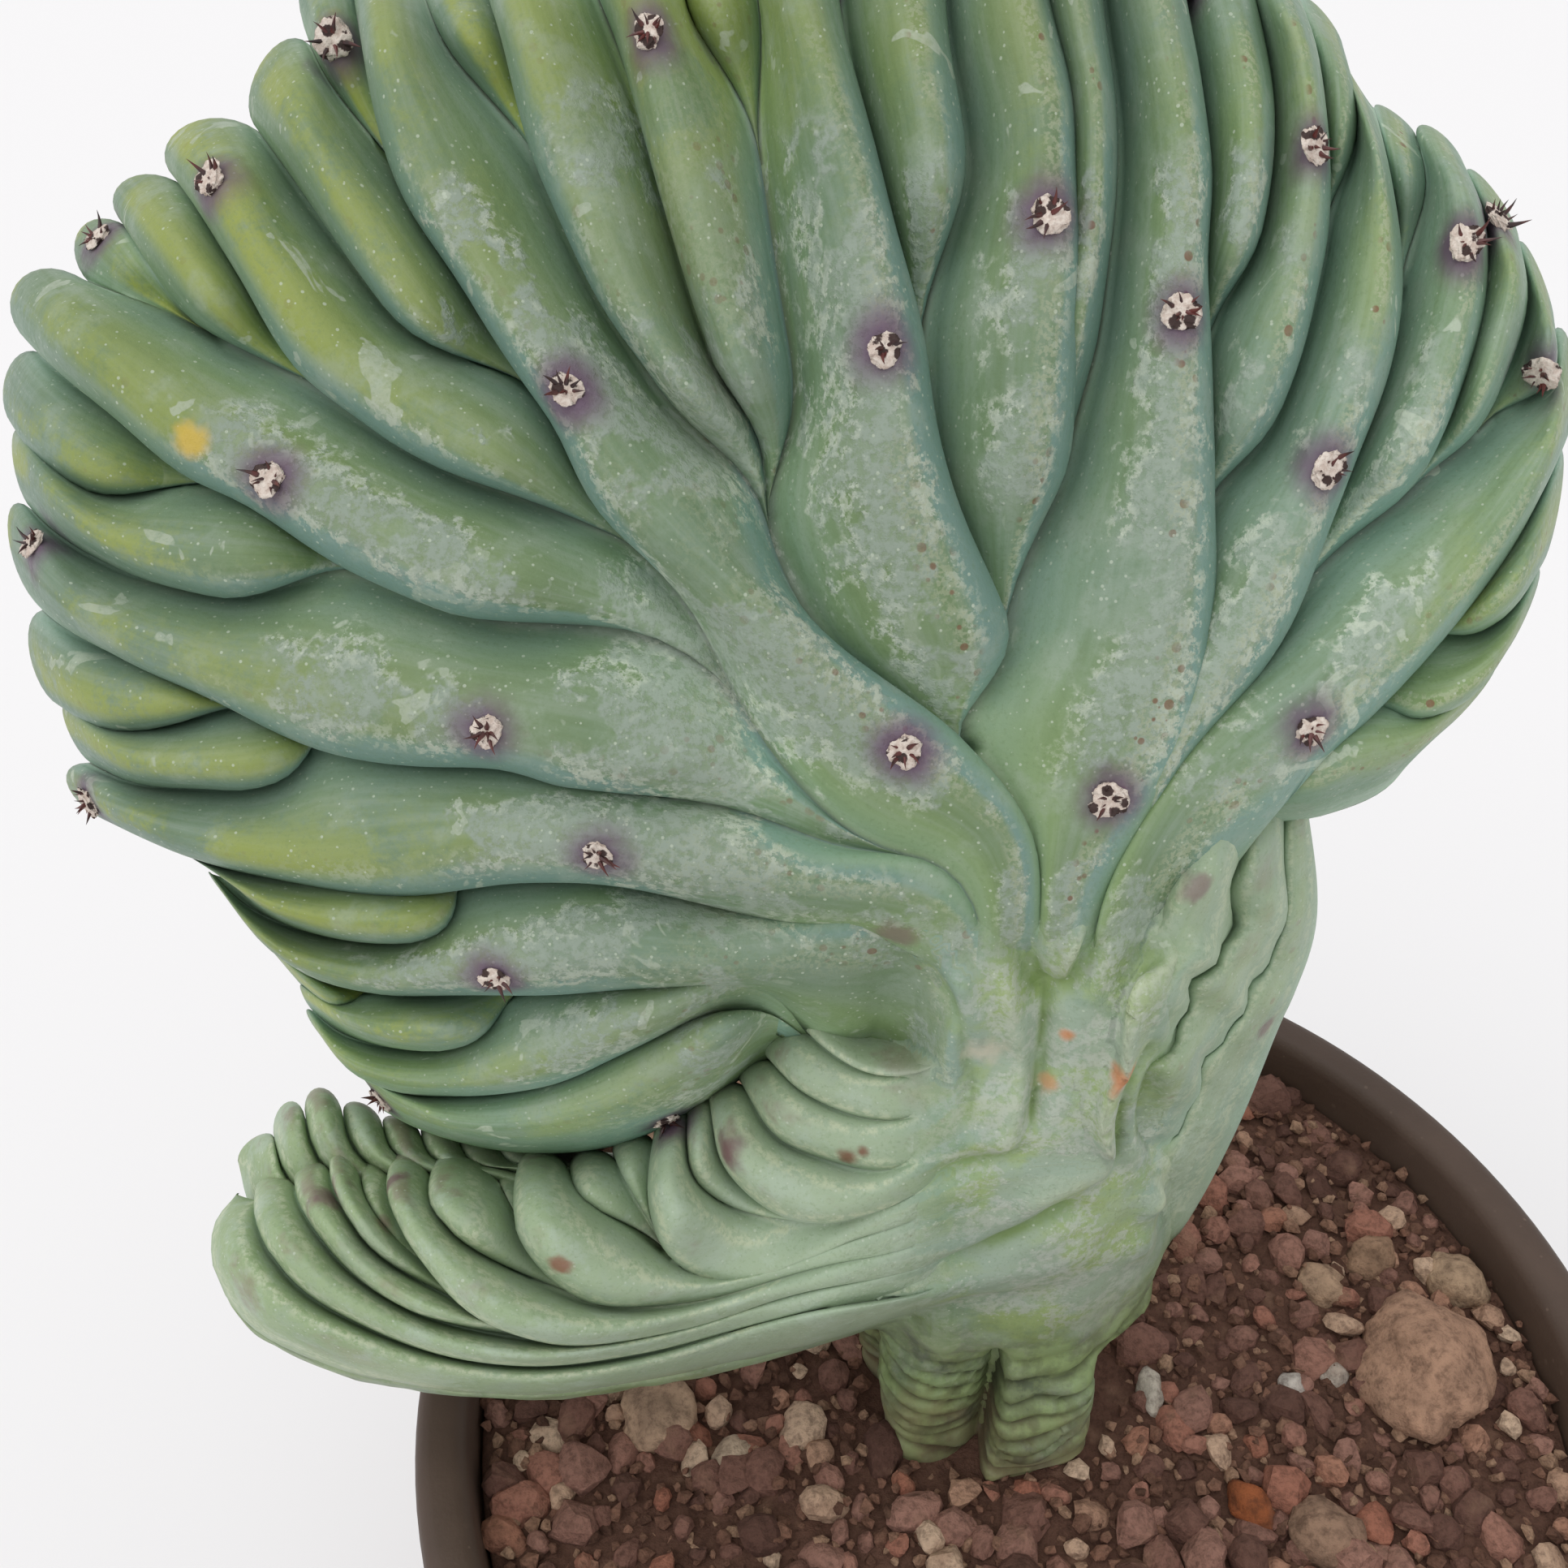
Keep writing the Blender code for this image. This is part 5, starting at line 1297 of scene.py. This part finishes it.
def finished(net, given, result, geometry):
    # the last step of every tree: its material, then the way out
    made = net.shaped("GeometryNodeSetMaterial", geometry, Material=given["Finish"])
    feed(net.tree, result["Geometry"], made)
    return net.tree


def buildScatter():
    # grains of five shapes, strewn over a surface
    net, given, result = growTree("strewnGrains", [
        ("Spacing", floatKind, 0.003), ("Density", floatKind, 90000.0), ("Smallest", floatKind, 0.002),
        ("Largest", floatKind, 0.005), ("Skew", floatKind, 2.0), ("Knobbliness", floatKind, 0.9),
        ("Heap", floatKind, 0.001), ("Detail", intKind, 2), ("Seed", intKind, 3),
        ("Finish", materialKind, None)])
    seeds = [given["Seed"]] + [net.math("ADD", given["Seed"], step) for step in (1.0, 2.0, 3.0, 4.0)]
    dots = net.add("GeometryNodeDistributePointsOnFaces", {
        "Mesh": given["Geometry"], "Distance Min": given["Spacing"], "Density Max": given["Density"],
        "Seed": seeds[0]}, distribute_method="POISSON").outputs["Points"]
    lift = net.join(Z=net.times(net.random("FLOAT", -0.4, 1.0, seeds[0]), given["Heap"]))
    raised = net.shaped("GeometryNodeSetPosition", dots, Offset=lift)
    join = net.add("GeometryNodeJoinGeometry")
    for number, flatness in enumerate((0.62, 0.78, 0.70, 0.9, 0.55), 1):
        ball = icoBall(net, 0.5, given["Detail"])
        spot = net.add("GeometryNodeInputPosition").outputs["Position"]
        moved = net.vector("ADD", spot, (number * 3.1, number * 1.7, number * 2.3))["Vector"]
        knobs = net.noise(1.15, 2.0, place=moved, part="Color")
        stone = net.shaped("GeometryNodeTransform", shaken(net, ball, knobs, given["Knobbliness"]),
                           Scale=(1.0, 0.86, flatness))
        single = net.add("GeometryNodeGeometryToInstance", {"Geometry": stone})
        feed(net.tree, join.inputs["Geometry"], single.outputs["Instances"])
    pick = net.random("INT", 0, 4, seeds[1])
    turn = net.random("FLOAT_VECTOR", (-0.7, -0.7, 0.0), (0.7, 0.7, 6.283), seeds[2])
    skewed = net.math("POWER", net.random("FLOAT", 0.0, 1.0, seeds[3]), given["Skew"])
    size = net.add("ShaderNodeMapRange", {
        "Value": skewed, "To Min": given["Smallest"], "To Max": given["Largest"]})
    placed = net.add("GeometryNodeInstanceOnPoints", {
        "Points": raised, "Instance": join.outputs["Geometry"], "Pick Instance": True, "Instance Index": pick,
        "Rotation": turn, "Scale": size.outputs["Result"]}).outputs["Instances"]
    toned = net.add("GeometryNodeStoreNamedAttribute", {
        "Geometry": placed, "Name": "grainTone", "Value": net.random("FLOAT", 0.0, 1.0, seeds[4])},
        data_type="FLOAT", domain="INSTANCE").outputs["Geometry"]
    return finished(net, given, result, net.shaped("GeometryNodeRealizeInstances", toned))


def standing(net, given, shape, seed):
    # sets a copy of one shape on every point, turned along the point's own aim
    aim = net.add("GeometryNodeInputNamedAttribute", {"Name": "aim"}, data_type="FLOAT_VECTOR").outputs[0]
    reach = net.add("GeometryNodeInputNamedAttribute", {"Name": "reach"}, data_type="FLOAT").outputs[0]
    spin = net.random("FLOAT_VECTOR", (0.0, 0.0, 0.0), (0.0, 0.0, 6.283), seed)
    turn = net.add("FunctionNodeAlignRotationToVector", {"Rotation": spin, "Vector": aim}, axis="Z")
    placed = net.add("GeometryNodeInstanceOnPoints", {
        "Points": given["Geometry"], "Instance": shape, "Rotation": turn.outputs["Rotation"], "Scale": reach})
    return net.shaped("GeometryNodeRealizeInstances", placed.outputs["Instances"])


def buildSpines():
    # tapered, slightly bowed spines
    net, given, result = growTree("standingSpines", [
        ("Length", floatKind, 0.0026), ("Thickness", floatKind, 0.0004), ("Sides", intKind, 5),
        ("Seed", intKind, 5), ("Finish", materialKind, None)])
    cone = net.add("GeometryNodeMeshCone", {
        "Vertices": given["Sides"], "Side Segments": 3, "Radius Top": 0.00002,
        "Radius Bottom": given["Thickness"], "Depth": given["Length"]}).outputs["Mesh"]
    height = net.split(net.add("GeometryNodeInputPosition").outputs["Position"])["Z"]
    share = net.math("DIVIDE", height, given["Length"])
    bow = net.times(net.times(share, share), net.times(given["Length"], 0.22))
    bent = net.shaped("GeometryNodeSetPosition", cone, Offset=net.join(X=bow))
    return finished(net, given, result, standing(net, given, bent, given["Seed"]))


def buildCushions():
    # woolly oval cushions
    net, given, result = growTree("woollyCushions", [
        ("Radius", floatKind, 0.0022), ("Height", floatKind, 0.5), ("Fluff", floatKind, 0.5),
        ("Finish", materialKind, None)])
    ball = icoBall(net, given["Radius"], 4)
    spot = net.add("GeometryNodeInputPosition").outputs["Position"]
    curls = net.noise(620.0, 4.0, 0.55, place=spot, part="Color")
    fluffed = shaken(net, ball, curls, net.times(given["Radius"], given["Fluff"]))
    flat = net.shaped("GeometryNodeTransform", fluffed, Scale=net.join(X=0.92, Y=1.12, Z=given["Height"]))
    smoothed = net.shaped("GeometryNodeSetShadeSmooth", standing(net, given, flat, 4))
    return finished(net, given, result, smoothed)


def pointMesh(name, spots, aims, reaches):
    made = bpy.data.meshes.new(name)
    made.from_pydata([tuple(spot) for spot in spots], [], [])
    addValues(made, "aim", aims, "FLOAT_VECTOR")
    addValues(made, "reach", reaches)
    return made


# areoles: woolly cushions with short dark spines and a purple halo in the skin
areoleLook = {
    "front": [
        (47, 135.5), (82, 138), (61, 120.5), (73.5, 105.3), (11, 98.8), (60, 90), (4, 67), (33, 59), (12, 29.5),
        (26, 22), (41, 5), (69.7, 48), (111.5, 92.5), (80, 4), (109, 43), (129.3, 26.5), (145.7, 38.5),
        (136.7, 98.5), (162, 18), (163.7, 57.7), (180.7, 30), (184.5, 27), (190, 46), (161.5, 90), (103, -4),
        (147, -2), (120, -12)],
    "backRibs": (1, 4, 9, 12, 16, 19, 22, 25, 28, 32, 36),
    "backRuns": (14, 52),
    "freeEnd": 12,
    "sizes": (0.85, 1.15),
    "cushionRadius": 0.0016,
    "cushionHeight": 0.30,
    "cushionRise": 0.34,
    "fluff": 1.6,
    "spineCount": (6, 9),
    "spineTurn": 2.4,
    "spineLength": 0.0022,
    "spineThickness": 0.00034,
    "spineSides": 6,
    "haloRadius": 0.0056,
}


def skinTree(pieces):
    whole = gathered(pieces)
    tree = BVHTree.FromBMesh(whole)
    whole.free()
    return tree


def hitOnRay(tree, spot, fromBehind=False):
    # where the line of sight through a place on the sheet meets the skin
    point = rayPoints(np.array([spot], float), np.array([1.0]))[0]
    ray = Vector(point - sheet["eye"])
    start = Vector(sheet["eye"]) + (0.6 * ray if fromBehind else Vector((0, 0, 0)))
    hit, normal, _, _ = tree.ray_cast(start, -ray if fromBehind else ray)
    return (hit, normal) if hit is not None else None


skinSurface, fanSurface = skinTree(skinPieces), skinTree((fan, saddle))
found = [hitOnRay(skinSurface, spot) for spot in areoleLook["front"]]
for track in [fanShape.tracks[rib] for rib in areoleLook["backRibs"]]:
    for back in areoleLook["backRuns"]:
        if back < track.length - areoleLook["freeEnd"]:
            found.append(hitOnRay(fanSurface, tuple(track.at(back)), fromBehind=True))
spots, aims, reaches = [], [], []
spineSpots, spineAims, spineReaches = [], [], []
radius = areoleLook["cushionRadius"]
for hit, normal in [spot for spot in found if spot is not None]:
    normal = normal.normalized()
    spots.append(hit + normal * 0.0001)
    aims.append(normal)
    size = rng.uniform(*areoleLook["sizes"])
    reaches.append(size)
    sideways = normal.orthogonal().normalized()
    across = normal.cross(sideways)
    for number in range(int(rng.integers(*areoleLook["spineCount"]))):
        angle = number * areoleLook["spineTurn"] + rng.uniform(-0.4, 0.4)
        out = rng.uniform(0.15, 0.72) * radius * size
        away = sideways * math.cos(angle) + across * math.sin(angle)
        tall = radius * areoleLook["cushionRise"] * math.sqrt(1 - (out / radius / 1.2) ** 2)
        spineSpots.append(hit + away * out + normal * tall * 0.75)
        spineAims.append((normal * rng.uniform(0.5, 1.0) + away * rng.uniform(0.5, 1.1)).normalized())
        spineReaches.append(rng.uniform(0.3, 0.9))
wool, horn = buildWool(), buildSpine()
cushions = grown("areoleCushions", pointMesh("cushionPoints", spots, aims, reaches), buildCushions(), {
    "Radius": radius, "Height": areoleLook["cushionHeight"], "Fluff": areoleLook["fluff"], "Finish": wool})
spines = grown("areoleSpines", pointMesh("spinePoints", spineSpots, spineAims, spineReaches), buildSpines(), {
    "Length": areoleLook["spineLength"], "Thickness": areoleLook["spineThickness"],
    "Sides": areoleLook["spineSides"], "Seed": 5, "Finish": horn})
print("areoles:", len(spots), "with", len(spineSpots), "spines")

haloCentres = KDTree(len(spots))
for number, spot in enumerate(spots):
    haloCentres.insert(spot, number)
haloCentres.balance()
for piece in skinPieces:
    away = np.array([haloCentres.find(corner.co)[2] for corner in piece.data.vertices])
    addValues(piece.data, "halo", np.maximum(0.0, 1.0 - away / areoleLook["haloRadius"]))


# soil: volcanic gravel over crumbly fines
soilLook = {
    "top": 0.1215,
    "radius": 0.0764,
    "wall": [(0.0582, 0.0042), (0.0608, 0.0070), (0.0677, 0.0560), (0.07645, 0.1150), (0.0768, 0.1207)],
    "foot": 0.0555,
    "steps": 120,
    "stemX": -0.0035,
    "stemRadius": 0.0205,
    "stemFlatness": 0.72,
    "coarse": {"Spacing": 0.0035, "Density": 160000.0, "Smallest": 0.0030, "Largest": 0.0078, "Skew": 1.9,
               "Knobbliness": 0.95, "Heap": 0.0011, "Detail": 2, "Seed": 3},
    "fine": {"Spacing": 0.0016, "Density": 600000.0, "Smallest": 0.0012, "Largest": 0.0030, "Skew": 1.5,
             "Knobbliness": 1.0, "Heap": 0.0014, "Detail": 1, "Seed": 9},
    "coarseTones": [(0.0, (98, 71, 62)), (0.30, (134, 98, 86)), (0.58, (162, 122, 108)), (0.78, (166, 110, 90)),
                    (0.90, (188, 152, 128)), (1.0, (216, 188, 162))],
    "fineTones": [(0.0, (98, 72, 60)), (0.6, (146, 108, 90)), (1.0, (184, 150, 124))],
    "bedTones": [(0.0, (104, 76, 64)), (1.0, (150, 116, 98))],
    "strewn": {"half": 0.078, "coarse": 0.0742, "fine": 0.0760},  # half the field, and how far out grains lie
    "grain": {"bed": 900.0, "coarse": 850.0, "fine": 1300.0, "stone": 620.0},
}


def soilHeight(x, y):
    rise = 0.0008 * noise.noise(Vector((x * 42, y * 42, 0.3)))
    rise += 0.0006 * noise.noise(Vector((x * 160, y * 160, 1.7)))
    near = float(ease((0.077 - math.hypot(x, y)) / 0.004))
    return soilLook["top"] + (0.0004 + rise) * near


def turnedFill():
    # the fill of the pot as one turned body whose top is a fine grid of rings
    low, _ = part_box("soil")
    steps = soilLook["steps"]
    rows = [(soilLook["foot"], low.z)] + soilLook["wall"]
    rows += [(radius, None) for radius in np.linspace(soilLook["radius"], 0.0016, 48)]
    shape = bmesh.new()
    rings = []
    for radius, height in rows:
        around = [(radius * math.cos(math.tau * k / steps), radius * math.sin(math.tau * k / steps))
                  for k in range(steps)]
        rings.append([shape.verts.new((x, y, soilHeight(x, y) if height is None else height))
                      for x, y in around])
    for lower, upper in zip(rings, rings[1:]):
        for k in range(steps):
            shape.faces.new((lower[k], lower[(k + 1) % steps], upper[(k + 1) % steps], upper[k]))
    shape.faces.new(rings[0][::-1])
    middle = shape.verts.new((0, 0, soilHeight(0, 0)))
    for k in range(steps):
        shape.faces.new((rings[-1][k], rings[-1][(k + 1) % steps], middle))
    bmesh.ops.recalc_face_normals(shape, faces=shape.faces)
    made = keptMesh("soilBed", shape)
    addValues(made, "grainTone", np.zeros(len(made.vertices)))
    made.shade_smooth()
    return made


def strewField(inner, outer):
    # the open ring of soil that grains lie on, without the stem's place
    shape = bmesh.new()
    bmesh.ops.create_grid(shape, x_segments=90, y_segments=90, size=soilLook["strewn"]["half"])
    gone = []
    for face in shape.faces:
        centre = face.calc_center_median()
        fromStem = math.hypot(centre.x - soilLook["stemX"], centre.y / soilLook["stemFlatness"])
        if centre.xy.length > outer or fromStem < inner:
            gone.append(face)
    bmesh.ops.delete(shape, geom=gone, context="FACES")
    for corner in shape.verts:
        corner.co.z = soilHeight(corner.co.x, corner.co.y)
    return keptMesh("strewField", shape)


soilBed = addObject("soilBed", turnedFill())
grain, strewn, stemRadius = soilLook["grain"], soilLook["strewn"], soilLook["stemRadius"]
soilBed.data.materials.append(buildGravel("soilFines", soilLook["bedTones"], grain["bed"]))
scatterTree = buildScatter()
coarse = grown("gravelCoarse", strewField(stemRadius, strewn["coarse"]), scatterTree, soilLook["coarse"] | {
    "Finish": buildGravel("gravelVolcanic", soilLook["coarseTones"], grain["coarse"])})
fine = grown("gravelFine", strewField(stemRadius - 0.001, strewn["fine"]), scatterTree, soilLook["fine"] | {
    "Finish": buildGravel("gravelFines", soilLook["fineTones"], grain["fine"])})
print("gravel:", len(coarse.data.polygons), "and", len(fine.data.polygons), "faces")


# single stones that the eye picks out: pixel in the photograph, size, squash, colour, fineness
stoneLook = [
    ("tanStone", (1752, 1690), 0.0104, (1.0, 0.86, 0.62), (196, 156, 130), 4),
    ("beigeStone", (812, 1738), 0.0056, (1.0, 0.9, 0.7), (206, 174, 146), 4),
    ("paleStoneA", (905, 1790), 0.0034, (0.8, 1.0, 0.7), (214, 190, 164), 3),
    ("paleStoneB", (1630, 1580), 0.0042, (1.0, 0.8, 0.6), (196, 164, 136), 3),
    ("paleStoneC", (1795, 1575), 0.0048, (1.0, 0.9, 0.7), (200, 170, 140), 3),
    ("brownStoneA", (1690, 1545), 0.0046, (0.7, 1.0, 0.6), (176, 142, 116), 3),
    ("whiteGrainA", (1593, 1704), 0.0024, (0.8, 1.0, 0.8), (224, 214, 204), 3),
    ("whiteGrainB", (1646, 1688), 0.0024, (1.0, 0.8, 0.7), (214, 200, 186), 3),
    ("whiteGrainC", (1418, 1709), 0.0034, (1.0, 0.55, 0.6), (216, 206, 190), 3),
    ("orangeChip", (1543, 1852), 0.0036, (0.7, 1.0, 0.7), (168, 98, 62), 3),
    ("roundStone", (1640, 1890), 0.0052, (0.8, 1.0, 0.7), (168, 136, 114), 3),
]
stoneSet = {"sightHeight": 0.002, "seat": 0.42, "darker": 0.74}
stonePaint = {}


def onSoil(pixel, height):
    # where the line of sight through a pixel meets the soil
    across, down = pixel
    side = (across - view["middlePixel"]) / view["pixelDistance"]
    rise = (view["middlePixel"] - down) / view["pixelDistance"]
    ray = sheet["ahead"] + side * np.array([1.0, 0, 0]) + rise * sheet["upward"]
    depth = (soilLook["top"] + height - sheet["eye"][2]) / ray[2]
    return sheet["eye"] + depth * ray


def stone(name, pixel, size, squash, tint, detail):
    spot = onSoil(pixel, stoneSet["sightHeight"])
    shape = bmesh.new()
    bmesh.ops.create_icosphere(shape, subdivisions=detail, radius=1.0)
    shift = Vector((spot[0] * 400, spot[1] * 400, size * 900))
    for corner in shape.verts:
        away = corner.co.normalized()
        swell = 1 + 0.26 * noise.noise(away * 1.3 + shift) + 0.10 * noise.noise(away * 4 + shift)
        swell += 0.035 * noise.noise(away * 11 + shift)
        corner.co = Vector((away.x * squash[0], away.y * squash[1], away.z * squash[2])) * (size * swell)
    turn = Matrix.Rotation(float(rng.uniform(0, 3)), 3, "Z")
    turn = turn @ Matrix.Rotation(float(rng.uniform(-0.25, 0.25)), 3, "X")
    seat = Vector((spot[0], spot[1], soilLook["top"] + size * squash[2] * stoneSet["seat"]))
    for corner in shape.verts:
        corner.co = turn @ corner.co + seat
    made = keptMesh(name, shape)
    made.shade_smooth()
    if tint not in stonePaint:
        darker = tuple(int(part * stoneSet["darker"]) for part in tint)
        stonePaint[tint] = buildGravel(name + "Skin", [(0.0, tint), (1.0, darker)], grain["stone"])
    made.materials.append(stonePaint[tint])
    addValues(made, "grainTone", [0.5 + 0.5 * noise.noise(corner.co * 350) for corner in made.vertices])
    return addObject(name, made)


stones = [stone(*row) for row in stoneLook]

# pot: a turned shell with a rolled rim and drain holes
potLook = {
    "sides": 144,
    "drains": 5,
    "drainRadius": 0.005,
    "drainRing": 0.040,
    "sharpFrom": 35,
    "profile": [
        (0.0, 0.0), (0.0575, 0.0), (0.0592, 0.0002), (0.0606, 0.0009), (0.0615, 0.0019), (0.0620, 0.0032),
        (0.0640, 0.0160), (0.0706, 0.0600), (0.07925, 0.1186), (0.0796, 0.1190), (0.0836, 0.1190),
        (0.0844, 0.1192), (0.08485, 0.1198), (0.0850, 0.1206), (0.0850, 0.1264), (0.08488, 0.1278),
        (0.0844, 0.1290), (0.0836, 0.1297), (0.0826, 0.1300), (0.0800, 0.1300), (0.0789, 0.1297),
        (0.0780, 0.1289), (0.0776, 0.1278), (0.0775, 0.1250), (0.07675, 0.1150), (0.0680, 0.0560),
        (0.0612, 0.0060), (0.0590, 0.0034), (0.0560, 0.0026), (0.0, 0.0026)],
}


def turnedPot():
    shape = bmesh.new()
    loop = [shape.verts.new((radius, 0, height)) for radius, height in potLook["profile"]]
    edges = [shape.edges.new(pair) for pair in zip(loop, loop[1:])]
    bmesh.ops.spin(shape, geom=loop + edges, axis=(0, 0, 1), cent=(0, 0, 0), angle=math.tau,
                   steps=potLook["sides"], use_merge=True)
    bmesh.ops.remove_doubles(shape, verts=shape.verts, dist=1e-6)
    bmesh.ops.recalc_face_normals(shape, faces=shape.faces)
    return addObject("potShell", keptMesh("potShell", shape))


pot = turnedPot()
drainRadius, drainRing = potLook["drainRadius"], potLook["drainRing"]
for number in range(potLook["drains"]):
    angle = math.tau * (number + 0.5) / potLook["drains"]
    shape = bmesh.new()
    bmesh.ops.create_cone(shape, cap_ends=True, segments=32, radius1=drainRadius, radius2=drainRadius,
                          depth=0.03)
    place = (drainRing * math.cos(angle), drainRing * math.sin(angle), 0.0)
    bmesh.ops.translate(shape, verts=shape.verts, vec=place)
    drain = addObject("drain", keptMesh("drain", shape))
    cut = pot.modifiers.new("drain", "BOOLEAN")
    cut.object, cut.operation, cut.solver = drain, "DIFFERENCE", "EXACT"
    pot.data = evaluated(pot)
    pot.modifiers.clear()
    bpy.data.objects.remove(drain, do_unlink=True)
pot.data.name = "potShell"
pot.data.materials.clear()
pot.data.materials.append(buildPotPlastic())
pot.data.shade_smooth()
pot.data.set_sharp_from_angle(angle=math.radians(potLook["sharpFrom"]))
print("pot:", len(pot.data.polygons), "faces")

# finishes and bodies
# single marks: pixel in the photograph, radius, colour, strength
markLook = [
    ((1315, 1275), 0.0010, (200, 124, 70), 0.75), ((1290, 1335), 0.0016, (204, 146, 100), 0.7),
    ((1385, 1335), 0.0022, (196, 118, 72), 0.8), ((1215, 1295), 0.0024, (206, 196, 176), 0.7),
    ((232, 540), 0.0021, (204, 172, 62), 0.8), ((1045, 1425), 0.0014, (118, 70, 50), 0.85),
    ((1062, 1420), 0.0009, (118, 70, 50), 0.85), ((895, 1420), 0.0016, (104, 62, 52), 0.8),
    ((690, 1560), 0.0016, (136, 78, 60), 0.8), ((405, 1475), 0.0028, (118, 88, 92), 0.75),
    ((480, 1455), 0.0022, (112, 78, 84), 0.8), ((895, 1419), 0.0030, (112, 84, 88), 0.7),
    ((470, 1510), 0.0018, (128, 92, 92), 0.6), ((1105, 1150), 0.0022, (116, 84, 92), 0.6),
        ((1475, 1095), 0.0022, (120, 88, 96), 0.65), ((1560, 1265), 0.0022, (120, 88, 96), 0.65),
]
marks = []
for pixel, *rest in markLook:
    hit = hitOnRay(skinSurface, (pixel[0] / 10, pixel[1] / 10))
    if hit is not None:
        marks.append((tuple(hit[0]), *rest))
hub = tuple(hitOnRay(skinSurface, skinLook["hub"])[0])
cactusSkin = buildSkin(marks, hub)
for piece in skinPieces:
    piece.data.materials.append(cactusSkin)
owners = {
    "cactus": [*skinPieces, cushions, spines],
    "soil": [soilBed, coarse, fine, *stones],
    "pot": [pot],
}
for owner, members in owners.items():
    for piece in members:
        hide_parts(owner)
        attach(piece, "root")
        print(piece.name, sum(len(face.vertices) - 2 for face in piece.data.polygons), "triangles")
